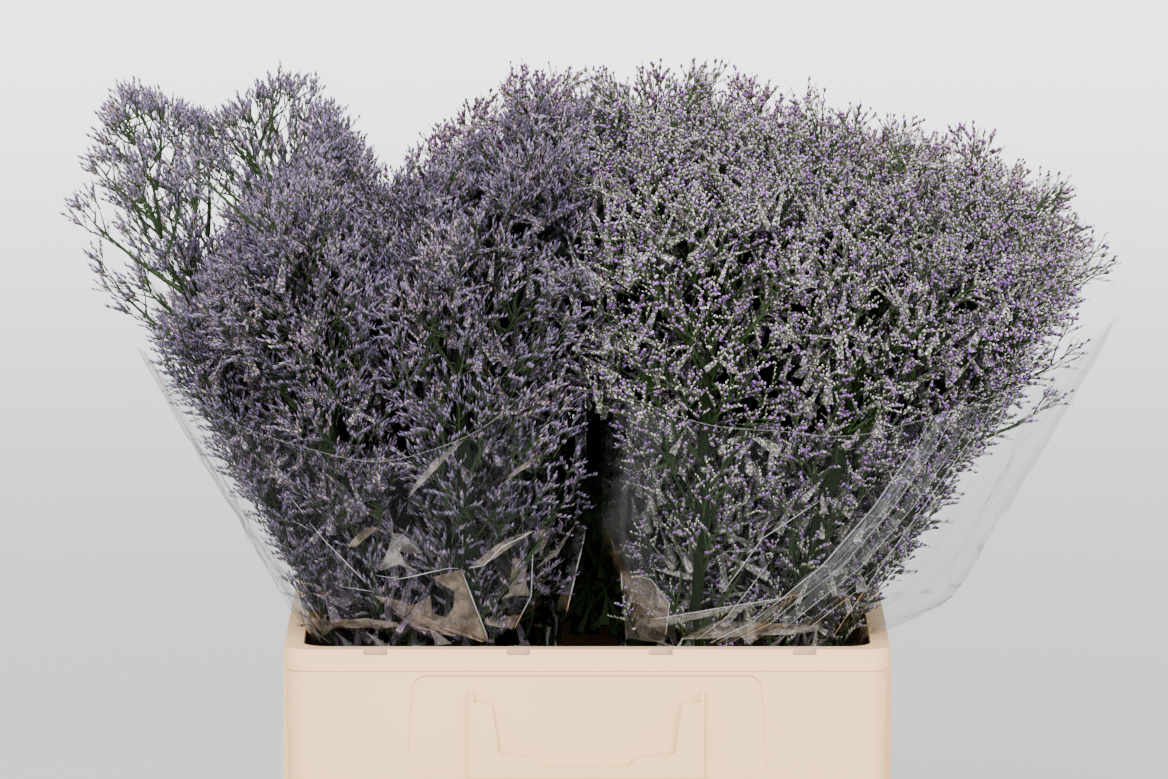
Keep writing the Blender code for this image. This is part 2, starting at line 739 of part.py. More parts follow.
def airy_top(bits, cell, low, top, rng):
    """The open top of a head: a thin leading stem and side branches, all ending in florets."""
    end = cell.on_line(top)
    root = cell.on_line(top - CLUSTER_LENGTH)
    tube(bits, [cell.on_line(low - LEADER_ROOT), root, root.lerp(end, 0.6), end],
         [TIP_RADIUS * 1.4, TIP_RADIUS, CLUSTER_RADIUS * 0.8, 0], 3, rng.uniform(0, math.tau))
    azimuth = rng.uniform(0, math.tau)
    height = low - BRANCH_FROM
    while height < top - CLUSTER_LENGTH:
        share = (height - low) / (top - low)
        grow_branch(bits, cell, cell.on_line(height), azimuth, BRANCH_REACH * (1 - 0.4 * share), rng)
        azimuth += GOLDEN_ANGLE
        height += BRANCH_PITCH * rng.uniform(0.85, 1.1)


def make_tie(parts, name, feet, material):
    """A rubber band round the stems of one bunch, just above their straight cut ends."""
    centre = sum(feet, Vector((0, 0, 0))) / len(feet)
    wide = max(abs(foot.x - centre.x) for foot in feet)
    deep = max(abs(foot.y - centre.y) for foot in feet)
    fit = max(math.hypot((foot.x - centre.x) / wide, (foot.y - centre.y) / deep) for foot in feet)
    clear = STEM_RADIUS + TIE_CLEARANCE + TIE_THICKNESS / 2
    outside = 1 / math.cos(math.pi / TIE_SIDES)
    bm = bmesh.new()
    turn = bmesh.ops.create_circle(bm, segments=4, radius=TIE_THICKNESS * 0.7,
                                   matrix=Matrix.Rotation(math.pi / 2, 4, "X"))["verts"]
    bmesh.ops.translate(bm, vec=(1, 0, 0), verts=turn)
    bmesh.ops.spin(bm, geom=bm.verts[:] + bm.edges[:], cent=(0, 0, 0), axis=(0, 0, 1),
                   angle=math.tau, steps=TIE_SIDES, use_merge=True)
    bmesh.ops.remove_doubles(bm, verts=bm.verts, dist=1e-6)
    for vert in bm.verts:
        round_z = math.atan2(vert.co.y, vert.co.x)
        proud = math.hypot(vert.co.x, vert.co.y) - 1
        x = (wide * fit + clear) * outside + proud
        y = (deep * fit + clear) * outside + proud
        vert.co = (centre.x + x * math.cos(round_z), centre.y + y * math.sin(round_z),
                   TIE_HEIGHT - TIE_DROP + vert.co.z * TIE_FLATNESS)
    bmesh.ops.recalc_face_normals(bm, faces=bm.faces)
    mesh_object(bm, "band_" + name, parts, material)


def make_bunch(parts, name, signs, spray_material, band_material):
    rng = random.Random("bunch " + name)
    apex = Vector((signs[0] * APEX[0], signs[1] * APEX[1], APEX[2]))
    lines = []
    tops = []
    for x, y in head_places(signs, rng):
        target = Vector((x, y, CRATE_HEIGHT + HEAD_HEIGHT))
        lines.append((target - apex).normalized())
        lean = abs(y) / HEAD_FAR[1]
        height = outline_height(x * OUTLINE_STRETCH) * (1 - DOME * lean * lean)
        tops.append(CRATE_HEIGHT + height + rng.uniform(0.0, TOP_DRIFT))
    feet = []
    for i, top in enumerate(tops):
        cell = Cell(i, lines, apex, signs)
        airy = i in AIRY_SPRAYS.get(name, ())
        pitch = CORE_PITCH["outer" if i < OUTER_COUNT else "inner"]
        title = "spray_%s_%02d" % (name, i + 1)
        make_spray(parts, title, cell, top, pitch, airy, spray_material, rng)
        feet.append(stem_foot(cell)[1])
    make_tie(parts, name, feet, band_material)


def main():
    clear_scene()
    parts = new_collection("statice_in_crate")
    make_crate(parts, principled("crate_plastic", CRATE_COLOUR, 0.45))
    film = principled("clear_film", FILM_COLOUR, 0.1)
    rubber = principled("band_rubber", BAND_COLOUR, 0.7)
    for name, signs in BUNCHES.items():
        make_sleeve(parts, name, signs, film)
        flowers = principled("flowers_" + name, SPRAY_COLOURS[name], 0.7)
        make_bunch(parts, name, signs, flowers, rubber)


main()
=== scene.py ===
# Looks of the statice crate: four bushy bunches in clear film, standing in a cream crate.
# Metres, +Z up. The crate's long front wall faces -Y.

import json
import math
import random

import bmesh
import bpy
from mathutils import Matrix, Vector
from mathutils.bvhtree import BVHTree

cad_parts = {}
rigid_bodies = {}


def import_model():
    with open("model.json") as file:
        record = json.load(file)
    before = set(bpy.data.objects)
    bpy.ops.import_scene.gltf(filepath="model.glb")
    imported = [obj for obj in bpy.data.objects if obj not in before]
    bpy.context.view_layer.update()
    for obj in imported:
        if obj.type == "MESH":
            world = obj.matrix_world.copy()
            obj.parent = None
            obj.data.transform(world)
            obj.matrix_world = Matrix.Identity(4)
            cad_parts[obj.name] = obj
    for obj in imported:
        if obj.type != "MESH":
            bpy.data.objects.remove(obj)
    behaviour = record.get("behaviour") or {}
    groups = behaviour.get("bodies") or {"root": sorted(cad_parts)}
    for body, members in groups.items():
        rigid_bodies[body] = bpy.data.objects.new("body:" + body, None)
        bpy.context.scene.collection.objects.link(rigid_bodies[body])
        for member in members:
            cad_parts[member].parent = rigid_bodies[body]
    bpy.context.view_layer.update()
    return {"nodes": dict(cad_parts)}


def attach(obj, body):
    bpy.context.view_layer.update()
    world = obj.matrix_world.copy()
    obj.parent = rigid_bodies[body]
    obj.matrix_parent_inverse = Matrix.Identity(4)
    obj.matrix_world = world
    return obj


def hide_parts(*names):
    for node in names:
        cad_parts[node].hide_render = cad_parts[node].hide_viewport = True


for leftover in list(bpy.data.objects):
    bpy.data.objects.remove(leftover)
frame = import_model()

# Crate, as in the frame
CRATE_LENGTH = 0.390
CRATE_DEPTH = 0.290
CRATE_HEIGHT = 0.300
CRATE_WALL = 0.004
CRATE_FLOOR = 0.004
FOOT_INSET = 0.006
RIM_WIDTH = 0.012
RIM_HEIGHT = 0.015
RIM_STEP = 0.001
CORNER_RADIUS = 0.016
LIP_HEIGHT = 0.010
NOTCH_SIZE = (0.0155, 0.0035)
NOTCH_PLACES = (-0.136, -0.044, 0.047, 0.139)
CUTTER_REACH = 0.020
PANEL_WIDTH = 0.226
PANEL_HEIGHT = 0.068
PANEL_TOP = CRATE_HEIGHT - RIM_HEIGHT - 0.002
PANEL_RECESS = 0.0016
PANEL_CORNER = 0.010
PANEL_FLARE = 0.003
HOLDER_WIDTH = 0.146
HOLDER_HEIGHT = 0.047
HOLDER_PLATE = 0.0022
HOLDER_GAP = 0.0018
HOLDER_WINDOW = (0.122, 0.034)
HOLDER_SILL = (0.034, 0.008)
HOLDER_ROUNDING = 0.003
HOLDER_ROOT = 0.0012
GUIDE_WIDTH = 0.0024
GUIDE_PROUD = 0.0004
GUIDE_RISE = 0.007
SHELF_THICKNESS = 0.0024
LEDGE_HEIGHT = 0.0035
LOWER_RECESS_HEIGHT = 0.050
LOWER_RECESS = 0.0012
LOWER_CORNER = 0.006
GRIP_LENGTH = 0.150
GRIP_OUT = 0.0045
GRIP_HEIGHT = 0.190
EDGE_ROUNDING = 0.0011
SOFTENED_ANGLE = 32
# Its looks: the scuffed left end, how high the inside is painted dark with shade, and the faint ribs'
# pitch
SCUFFED_END = (-0.192, -0.180)
INSIDE_SHADE_TO = (0.2900, 0.2985)
RIB_PITCH = 0.009

# Film sleeves, given for the bunch at +x, +y and mirrored to the other three
SLEEVE_FOOT_CENTRE = (0.062, 0.048)
SLEEVE_FOOT_HALF = (0.042, 0.036)
SLEEVE_RIM_CLEARANCE = 0.0035
SLEEVE_GAP_AT_RIM = (0.021, 0.010)
SLEEVE_GAP = 0.0022
SLEEVE_GAP_CLOSES = 0.078
SLEEVE_FLARE = {-1: (0.62, 0.45), 1: (0.78, 0.45)}
SLEEVE_FLARE_EASE = 0.45
SLEEVE_POWER = 3.0
SLEEVE_DIP = {"front": 0.130, "back": 0.168}
SLEEVE_PEAK = {"front": 0.194, "back": 0.226}
SLEEVE_FOOT = CRATE_FLOOR + 0.0003
FILM_LOW = CRATE_HEIGHT - 0.030
# How far the front right sleeve stands off its flowers at the side, and up to where
BELLY = 0.042
BELLY_FROM = 0.020
BELLY_TOP = 0.300
# Upright strips of film, from one place to another round the sleeve, in degrees and in metres
# off it, with their gleam: the welded seam that stands off its inner corner, and the broad
# fold that lies there on the front right sleeve
SEAM = (((152, 0.0006), (152, 0.0078), 0.07), ((152, 0.0078), (152, 0.0087), 0.75))
FOLDED_CORNER = (((152, 0.0085), (147, 0.0065), 0.020), ((147, 0.0065), (144, 0.0050), 0.040),
                 ((144, 0.0050), (137, 0.0035), 0.025), ((137, 0.0035), (135, 0.0030), 0.055),
                 ((135, 0.0030), (127, 0.0015), 0.020))
FILM_AROUND = 44
FILM_UP = 22
# The sleeve's share that is below FILM_LOW, the cells' unevenness, and the folds' depth
FILM_LOW_SHARE = 0.2
CELL_DRIFT = 0.42
FOLD_DEPTH = 0.0042
SOFT_FOLDS = 18
SHARP_FOLDS = 9
CREASE_WIDTH = 0.0007
# The cut edge: steps round it, its two rows up the sleeve, how far off it lies and its gleam
EDGE_STEPS = 160
EDGE_ROWS = (1.0, 0.9965)
EDGE_LIFT = 0.0008
EDGE_GLEAM = 0.26

# Flower stems
APEX = (0.060, 0.046, 0.030)
TIE_HEIGHT = 0.092
AIRY_SPRAYS = {"front_left": (1, 2, 7, 11), "back_left": (1, 2, 7, 11), "back_right": (1,)}
AIRY_FROM = 0.235
AIRY_TOP = 0.668
AIRY_DEPTH = 0.218
CORE_SHRINK = 0.30
AIRY_SHRINK = 0.12
CORE_DROP = 0.045
SPRIG_LENGTH = 0.040
SPRIG_STRETCH = (0.62, 1.2)
BRUSH_STALK = 0.007
BRUSH_REACH = 0.0125
BRUSH_LENGTH = BRUSH_STALK + BRUSH_REACH
CLUSTERS_FROM = 0.01
# Over this height over the rim the bunches mingle
BUNCHES_MEET = 0.15
# How far up from the rim the plants turn darker and duller, and how much of their colour that covers
LOW_REACH = 0.16
LOW_SHARE = 0.66
# How lit the hidden parts are: in the core and between the sleeves, behind the dark fold, and in
# the mass right under the florets
HIDDEN_LIT = 0.22
SHADE_LIT = 0.42
MASS_LIT = 0.82
GOLDEN_ANGLE = math.pi * (3 - math.sqrt(5))
# Branches of the shell: how far their fork lies in, down the stem and towards it, their thickness
# and sides. Some forks lie open, the others close to the stem.
OPEN_FORK = (0.018, 0.10, 0.00155, 4)
CLOSE_FORK = (0.030, 0.22, 0.00115, 3)
OPEN_FORK_SHARE = 0.4
# Airy branches: their radii, and where along them the side brushes stand
AIRY_RADII = (0.0015, 0.0014, 0.0012, 0.0010, 0.0008, 0.0006, 0.0)
BRUSHES_AT = (0.30, 0.43, 0.55, 0.66, 0.77)
LEAVES_BETWEEN_SLEEVES = 190

BUNCHES = {
    "front_left": (-1, -1),
    "front_right": (1, -1),
    "back_left": (-1, 1),
    "back_right": (1, 1),
}


class Signal:
    """A shader socket. Sums on it add Math nodes."""

    def __init__(self, shader, socket):
        self.shader = shader
        self.socket = socket

    def math(self, operation, *values, clamp=False):
        settings = {"operation": operation, "use_clamp": clamp}
        return self.shader.add("ShaderNodeMath", settings, dict(enumerate(values)))

    def __add__(self, other):
        return self.math("ADD", self, other)

    def __radd__(self, other):
        return self.math("ADD", other, self)

    def __sub__(self, other):
        return self.math("SUBTRACT", self, other)

    def __rsub__(self, other):
        return self.math("SUBTRACT", other, self)

    def __mul__(self, other):
        return self.math("MULTIPLY", self, other)

    def __rmul__(self, other):
        return self.math("MULTIPLY", other, self)

    def __truediv__(self, other):
        return self.math("DIVIDE", self, other)

    def __pow__(self, other):
        return self.math("POWER", self, other)

    def clamped(self):
        return self.math("ADD", self, 0.0, clamp=True)

    def fraction(self):
        return self.math("FRACT", self)

    def magnitude(self):
        return self.math("ABSOLUTE", self)

    def between(self, low, high):
        """0 below low, 1 above high, and a smooth step between them."""
        return self.shader.add("ShaderNodeMapRange", {"interpolation_type": "SMOOTHSTEP"},
                               {"Value": self, "From Min": low, "From Max": high})


class Shader:
    """A material's nodes."""

    def __init__(self, name):
        self.material = bpy.data.materials.new(name)
        self.material.use_nodes = True
        self.nodes = self.material.node_tree.nodes
        self.links = self.material.node_tree.links
        self.nodes.clear()

    def add(self, kind, settings=None, sockets=None, output=0):
        node = self.nodes.new(kind)
        for name, value in (settings or {}).items():
            setattr(node, name, value)
        for name, value in (sockets or {}).items():
            if isinstance(value, Signal):
                self.links.new(value.socket, node.inputs[name])
            else:
                node.inputs[name].default_value = value
        return Signal(self, node.outputs[output]) if node.outputs else node

    def place(self):
        return self.add("ShaderNodeTexCoord", output="Object")

    def along(self, axis):
        return self.add("ShaderNodeSeparateXYZ", sockets={"Vector": self.place()}, output=axis)

    def attribute(self, name):
        return self.add("ShaderNodeAttribute", {"attribute_name": name}, output="Fac")

    def noise(self, scale, detail=2.0, roughness=0.5):
        sockets = {"Vector": self.place(), "Scale": scale, "Detail": detail, "Roughness": roughness}
        return self.add("ShaderNodeTexNoise", sockets=sockets)

    def mix(self, factor, first, second):
        sockets = {0: factor, 6: first, 7: second}
        return self.add("ShaderNodeMix", {"data_type": "RGBA"}, sockets, output=2)

    def bump(self, height, distance, strength):
        sockets = {"Height": height, "Distance": distance, "Strength": strength}
        return self.add("ShaderNodeBump", sockets=sockets)

    def principled(self, colour, roughness, **others):
        sockets = {"Base Color": colour, "Roughness": roughness}
        for name, value in others.items():
            sockets[name.replace("_", " ").title().replace("Ior", "IOR")] = value
        return self.add("ShaderNodeBsdfPrincipled", sockets=sockets)

    def finish(self, surface):
        self.add("ShaderNodeOutputMaterial", sockets={"Surface": surface})
        return self.material


def colour(red, green, blue):
    return (red, green, blue, 1.0)


# Meshes

def mesh_from(bm, name):
    mesh = bpy.data.meshes.new(name)
    bm.to_mesh(mesh)
    bm.free()
    return mesh


def new_object(mesh, name, materials):
    thing = bpy.data.objects.new(name, mesh)
    bpy.context.scene.collection.objects.link(thing)
    for material in materials:
        mesh.materials.append(material)
    return thing


def put(bm, mesh, matrix):
    """Adds a placed copy of a mesh to a bmesh."""
    copy = mesh.copy()
    copy.transform(matrix)
    bm.from_mesh(copy)
    bpy.data.meshes.remove(copy)


def aimed(point, direction):
    """A frame at a point, with its Z along a direction."""
    return Matrix.Translation(point) @ direction.to_track_quat("Z", "Y").to_matrix().to_4x4()


def leaned(direction, azimuth, angle):
    """A direction leaned away from another by an angle, towards an azimuth round it."""
    turn = direction.to_track_quat("Z", "Y")
    side = Vector((math.cos(azimuth), math.sin(azimuth), 0))
    return turn @ (side * math.sin(angle) + Vector((0, 0, math.cos(angle))))


def extrude(bm, face):
    """Extrudes an end face in place. Gives the new end face and its vertices."""
    attached = any(len(edge.link_faces) > 1 for edge in face.edges)
    grown = bmesh.ops.extrude_face_region(bm, geom=[face])["geom"]
    if attached and face.is_valid:
        bmesh.ops.delete(bm, geom=[face], context="FACES_ONLY")
    moved = [part for part in grown if isinstance(part, bmesh.types.BMVert)]
    end = [part for part in grown if isinstance(part, bmesh.types.BMFace)][0]
    return end, moved


def twig(path, radii, sides=3):
    """A tapering stem along a path, closed to a point at its end."""
    bm = bmesh.new()
    frames = []
    for i, point in enumerate(path):
        ahead = path[min(i + 1, len(path) - 1)] - path[max(i - 1, 0)]
        frames.append(aimed(point, ahead.normalized()))
    bmesh.ops.create_circle(bm, cap_ends=True, segments=sides, radius=radii[0], matrix=frames[0])
    face = bm.faces[:][0]
    for i in range(1, len(path)):
        face, moved = extrude(bm, face)
        if i == len(path) - 1:
            bmesh.ops.pointmerge(bm, verts=moved, merge_co=path[i])
            break
        size = Matrix.Scale(radii[i] / radii[i - 1], 4)
        bmesh.ops.transform(bm, matrix=frames[i] @ size @ frames[i - 1].inverted(), verts=moved)
    paint(bm.faces, STEM)
    bmesh.ops.recalc_face_normals(bm, faces=bm.faces)
    return mesh_from(bm, "twig")


def arc_between(start, middle, end, steps):
    """Points of a smooth bend from start to end that is drawn towards its middle point."""
    points = []
    for i in range(steps + 1):
        t = i / steps
        points.append(start * (1 - t) ** 2 + middle * 2 * t * (1 - t) + end * t ** 2)
    return points


# Flowers. Every spray has the same five slots.
STEM, CALYX, PETAL, TIP, MASS = range(5)

# A bunch's kind of floret: its length, its width, its pitch on a comb and the share with a
# coloured tip. Slender ones are closed and pointed, cupped ones open in a small funnel.
FLORETS = {
    "slender": {"length": 0.0066, "width": 0.0023, "pitch": 0.0022, "tipped": 0.08},
    "cupped": {"length": 0.0042, "width": 0.0016, "pitch": 0.0022, "tipped": 0.38},
    "violet": {"length": 0.0040, "width": 0.0016, "pitch": 0.0022, "tipped": 0.50},
}


def paint(faces, slot):
    for face in faces:
        face.material_index = slot


def shade_along(bm, length):
    """Stores how far up its floret each point is, for the colour to change along it."""
    tone = bm.verts.layers.float.new("tone")
    for vert in bm.verts:
        vert[tone] = min(1.0, max(0.0, vert.co.z / length))


def slender_floret(kind, tipped):
    """A closed, pointed floret on a green calyx, widest just under its middle."""
    bm = bmesh.new()
    length, waist = kind["length"], kind["length"] * 0.42
    up = Matrix.Translation((0, 0, (length + waist) / 2))
    bmesh.ops.create_cone(bm, cap_ends=True, segments=3, radius1=kind["width"] * 0.577, radius2=0,
                          depth=length - waist, matrix=up)
    paint(bm.faces, TIP if tipped else PETAL)
    bm.verts.ensure_lookup_table()
    low = sorted(bm.verts, key=lambda vert: vert.co.z)[:3]
    paint([face for face in bm.faces if set(face.verts) == set(low)], CALYX)
    low[0].co = Vector((0, 0, 0))
    shade_along(bm, length)
    return mesh_from(bm, "floret")


def cupped_floret(kind, tipped):
    """A pale papery funnel, with the coloured flower standing in its mouth on some."""
    bm = bmesh.new()
    length = kind["length"]
    wide = kind["width"] * (1.0 if tipped else 0.5)
    up = Matrix.Translation((0, 0, length / 2))
    bmesh.ops.create_cone(bm, cap_ends=True, segments=3, radius1=0, radius2=wide, depth=length,
                          matrix=up)
    paint(bm.faces, CALYX if tipped else PETAL)
    if tipped:
        mouth = max(bm.faces, key=lambda face: face.calc_center_median().z)
        raised = bmesh.ops.poke(bm, faces=[mouth])
        paint(raised["faces"], TIP)
        bmesh.ops.translate(bm, vec=(0, 0, 0.0015), verts=raised["verts"])
    shade_along(bm, length)
    return mesh_from(bm, "floret")


def add_twig(bm, start, end, radius):
    """A straight hair-thin twig that tapers to a point."""
    middle = aimed(start.lerp(end, 0.5), (end - start).normalized())
    made = bmesh.ops.create_cone(bm, cap_ends=True, segments=3, radius1=radius, radius2=0,
                                 depth=(end - start).length, matrix=middle)["verts"]
    paint({face for vert in made for face in vert.link_faces}, STEM)


def add_comb(bm, root, way, length, kind, florets, rng):
    """A side twig with florets in two close rows along its upper side."""
    upright = Vector((0, 0, 1))
    end = root + way * length
    add_twig(bm, root, end + way * 0.001, 0.00036)
    across = way.cross(upright).normalized()
    count = max(3, round(length * 0.82 / kind["pitch"]))
    forward = rng.uniform(0.35, 0.70)
    for i in range(count):
        t = 0.20 + 0.80 * i / (count - 1)
        side = across * (0.22 if i % 2 else -0.22) * rng.uniform(0.5, 1.2)
        direction = (upright * 0.85 + way * (forward + rng.uniform(-0.08, 0.08)) + side).normalized()
        floret = florets[rng.random() < kind["tipped"]]
        size = rng.uniform(0.8, 1.15) * (1.05 - 0.25 * t)
        turn = Matrix.Rotation(rng.uniform(0, math.tau), 4, "Z") @ Matrix.Scale(size, 4)
        put(bm, floret, aimed(root.lerp(end, t), direction) @ turn)


def floret_pair(name):
    """The plain floret of a kind, and the one with a coloured tip."""
    make_floret = slender_floret if name == "slender" else cupped_floret
    return [make_floret(FLORETS[name], tipped) for tipped in (False, True)]


def make_sprig(name, combs, reach, rng):
    """A small spray of combs round a thin twig, standing on the origin along +Z."""
    kind = FLORETS[name]
    florets = floret_pair(name)
    bm = bmesh.new()
    origin = Vector((0, 0, 0))
    bow = Vector((rng.uniform(-0.004, 0.004), rng.uniform(-0.004, 0.004), SPRIG_LENGTH * 0.45))
    top = Vector((rng.uniform(-0.002, 0.002), rng.uniform(-0.002, 0.002), SPRIG_LENGTH * 0.84))
    path = arc_between(origin, bow, top, 2)
    add_part(bm, twig(path, [0.00055, 0.00042, 0.0]))
    azimuth = rng.uniform(0, math.tau)
    for i in range(combs):
        t = 0.22 + 0.66 * i / max(1, combs - 1)
        root = bow * 2 * t * (1 - t) + top * t ** 2
        lean = math.radians(64 - 38 * t) * rng.uniform(0.85, 1.15)
        way = leaned(Vector((0, 0, 1)), azimuth, lean)
        length = reach * (1.1 - 0.35 * t) * rng.uniform(0.8, 1.15)
        add_comb(bm, root, way, length, kind, florets, rng)
        azimuth += GOLDEN_ANGLE + rng.uniform(-0.3, 0.3)
    last = path[-2].lerp(top, 0.6)
    add_comb(bm, last, (top - last).normalized(), 0.011, kind, florets, rng)
    for floret in florets:
        bpy.data.meshes.remove(floret)
    return mesh_from(bm, "sprig")


def make_brush(name, rng):
    """A close clump of combs on a short bare stalk, standing on the origin along +Z."""
    kind = FLORETS[name]
    florets = floret_pair(name)
    bm = bmesh.new()
    hub = Vector((0, 0, BRUSH_STALK))
    add_twig(bm, Vector((0, 0, 0)), hub * 1.6, 0.0007)
    azimuth = rng.uniform(0, math.tau)
    for i in range(4):
        way = leaned(Vector((0, 0, 1)), azimuth, math.radians(12 + 11 * i) * rng.uniform(0.85, 1.15))
        add_comb(bm, hub * (1 - 0.14 * i), way, BRUSH_REACH * rng.uniform(0.8, 1.1), kind, florets, rng)
        azimuth += GOLDEN_ANGLE + rng.uniform(-0.3, 0.3)
    for floret in florets:
        bpy.data.meshes.remove(floret)
    return mesh_from(bm, "brush")


def sprig_sets():
    """Several full, middling and sparse sprigs of each kind, to be copied all over."""
    rng = random.Random("sprigs")
    sets = {}
    for name in FLORETS:
        sets[name] = {
            "full": [make_sprig(name, 6, 0.0160, rng) for k in range(7)],
            "mid": [make_sprig(name, 4, 0.0135, rng) for k in range(5)],
            "inner": [make_sprig(name, 2, 0.0140, rng) for k in range(3)],
            "brush": [make_brush(name, rng) for k in range(8)],
        }
    return sets


def make_tuft(rng, slot):
    """A few broad blades that stand for the tangle of leaves and florets inside a bunch."""
    bm = bmesh.new()
    for k in range(6):
        way = leaned(Vector((0, 0, 1)), GOLDEN_ANGLE * k, math.radians(rng.uniform(10, 60)))
        start = Vector([rng.uniform(-0.009, 0.009) for axis in range(3)]) - way * 0.014
        add_twig(bm, start, start + way * rng.uniform(0.024, 0.036), rng.uniform(0.0022, 0.0042))
    paint(bm.faces, slot)
    return mesh_from(bm, "tuft")


def place_sprig(bm, sprig, root, tip, rng):
    way = tip - root
    stretch = min(max(way.length / SPRIG_LENGTH, SPRIG_STRETCH[0]), SPRIG_STRETCH[1])
    wide = 0.5 + 0.5 * stretch
    turn = Matrix.Rotation(rng.uniform(0, math.tau), 4, "Z")
    size = Matrix.Diagonal((wide, wide, stretch, 1.0))
    put(bm, sprig, aimed(root, way.normalized()) @ turn @ size)


def cluster_tips(bm):
    """The points of a stem's clusters, which three faces meet at."""
    return [vert for vert in bm.verts
            if vert.co.z > CRATE_HEIGHT + CLUSTERS_FROM and len(vert.link_faces) == 3]


class Stem:
    """One flower stem of the frame: its line, its core and the tips of its clusters."""

    def __init__(self, name, number, signs):
        self.bunch = name
        self.number = number
        self.node = "spray_%s_%02d" % (name, number)
        self.airy = number in AIRY_SPRAYS.get(name, ())
        self.rng = random.Random(self.node)
        self.solid = bmesh.new()
        self.solid.from_mesh(frame["nodes"][self.node].data)
        bmesh.ops.remove_doubles(self.solid, verts=self.solid.verts, dist=1e-6)
        self.apex = Vector((signs[0] * APEX[0], signs[1] * APEX[1], APEX[2]))
        ring = [vert.co for vert in self.solid.verts if abs(vert.co.z - TIE_HEIGHT) < 1e-4]
        tie = sum(ring, Vector()) / len(ring)
        self.own = (tie - self.apex).normalized()
        self.targets = []
        self.tufts = []
        self.strays = []

    def shares_corner(self, point):
        """Whether a point is in the same quarter of the crate as the stem's bunch."""
        return self.apex.x * point.x > 0 and self.apex.y * point.y > 0

    def leans_in(self):
        """Whether the stem's head is near the middle of the crate."""
        return abs(self.nearest(Vector((0, 0, 0.56))).x) < 0.15

    def nearest(self, point):
        return self.apex + self.own * (point - self.apex).dot(self.own)

    def clusters(self):
        """The root and tip of each cluster of the frame's solid."""
        found = []
        for vert in cluster_tips(self.solid):
            ring = {other for face in vert.link_faces for other in face.verts} - {vert}
            root = sum((other.co for other in ring), Vector()) / len(ring)
            found.append((root, vert.co.copy()))
        return found

    def add_core(self, bm):
        """The frame's solid without its clusters, drawn in so that florets hide it."""
        core = self.solid.copy()
        bmesh.ops.dissolve_verts(core, verts=cluster_tips(core))
        if self.airy:
            cut = bmesh.ops.bisect_plane(core, geom=core.verts[:] + core.edges[:] + core.faces[:],
                                         plane_co=(0, 0, CRATE_HEIGHT + AIRY_FROM - 0.006),
                                         plane_no=(0, 0, 1), clear_outer=True)["geom_cut"]
            rim = [part for part in cut if isinstance(part, bmesh.types.BMEdge)]
            bmesh.ops.holes_fill(core, edges=rim)
        for vert in core.verts:
            over = vert.co.z - CRATE_HEIGHT
            if over > 0:
                centre = self.nearest(vert.co)
                drawn = centre + (vert.co - centre) * (AIRY_SHRINK if self.airy else CORE_SHRINK)
                vert.co = drawn - self.own * CORE_DROP * min(1.0, over / 0.2)
        add_part(bm, mesh_from(core, "core"))
        if self.airy:
            low = self.nearest(Vector((self.apex.x * 1.5, self.apex.y * 1.5, CRATE_HEIGHT + 0.10)))
            path = [low + self.own * 0.055 * k for k in range(5)]
            add_part(bm, twig(path, [0.0017, 0.0016, 0.0014, 0.0012, 0.0], sides=4))


# The flowers' outline, seen from the front: heights over the rim at places along the crate
OUTLINE = (
    (-0.340, 0.225), (-0.305, 0.340), (-0.270, 0.336), (-0.235, 0.326), (-0.186, 0.362),
    (-0.153, 0.305), (-0.127, 0.282), (-0.101, 0.305), (-0.069, 0.326), (-0.040, 0.350),
    (0.034, 0.345), (0.073, 0.348), (0.141, 0.328), (0.190, 0.315), (0.248, 0.305),
    (0.296, 0.276), (0.340, 0.220),
)
# The airy plume's left edge: heights over the rim, and places along the crate at them
PLUME = ((0.10, -0.330), (0.20, -0.344), (0.24, -0.346), (0.31, -0.324), (0.345, -0.308),
         (0.372, -0.262))
# How high the airy branches reach over the rim at places along the crate
AIRY_OUTLINE = ((-0.310, 0.354), (-0.276, 0.342), (-0.247, 0.332), (-0.217, 0.347), (-0.190, 0.370),
                (-0.160, 0.325), (-0.137, 0.300), (-0.100, 0.325), (-0.041, 0.362), (0.000, 0.340),
                (0.035, 0.362), (0.075, 0.365), (0.144, 0.345), (0.207, 0.325), (0.254, 0.322),
                (0.304, 0.292), (0.350, 0.240))
# The dense part under the airy plume at the left
DENSE = ((-0.310, 0.140), (-0.286, 0.188), (-0.253, 0.227), (-0.220, 0.264), (-0.188, 0.290),
         (-0.142, 0.400))
DOME = 0.20
DOME_REACH = 0.232
MASS_FILL = {-1: 0.93, 1: 0.88}
SHELL = 0.034
TUFT_PITCH = 0.0215
MASS_TO = 0.055
PITCH = 0.0184
BRANCH_SPREAD = 0.042
# The folded part of the front right sleeve beside the middle, behind which the flowers are painted in
# shade: how far it reaches
SHADE_REACH = 0.024
SHADE_TOP = 0.190


def along_table(table, x):
    for (x0, z0), (x1, z1) in zip(table, table[1:]):
        if x <= x1:
            return z0 + (z1 - z0) * max(0.0, (x - x0) / (x1 - x0))
    return table[-1][1]


def squared_radius(u, v):
    """How far out a place is in a sleeve's rounded square section, 1 on its wall."""
    return (u ** SLEEVE_POWER + v ** SLEEVE_POWER) ** (1 / SLEEVE_POWER)


def mass_depth(point):
    """How deep a point lies under the flowers' outer surface, negative outside it."""
    side = -1 if point.x < 0 else 1
    top = along_table(OUTLINE, point.x) * (1 - DOME * (point.y / DOME_REACH) ** 2)
    top += 0.007 * math.sin(95 * point.x + 0.6) * math.sin(80 * point.y + 1.3)
    top += 0.006 * math.sin(41 * point.x - 57 * point.y)
    if side < 0:
        top = min(top, along_table(DENSE, point.x))
    centre, half = sleeve_section(point.z, side)
    u = max(0.0, (abs(point.x) - centre[0]) / half[0])
    v = max(0.0, (abs(point.y) - centre[1]) / half[1])
    return min((MASS_FILL[side] - squared_radius(u, v)) * 0.11, CRATE_HEIGHT + top - point.z)


def in_shade(point):
    """Whether a point is where a fold of the front right sleeve shows only darkness."""
    over = point.z - CRATE_HEIGHT
    return 0 < point.x < SHADE_REACH and point.y < 0 and over < SHADE_TOP


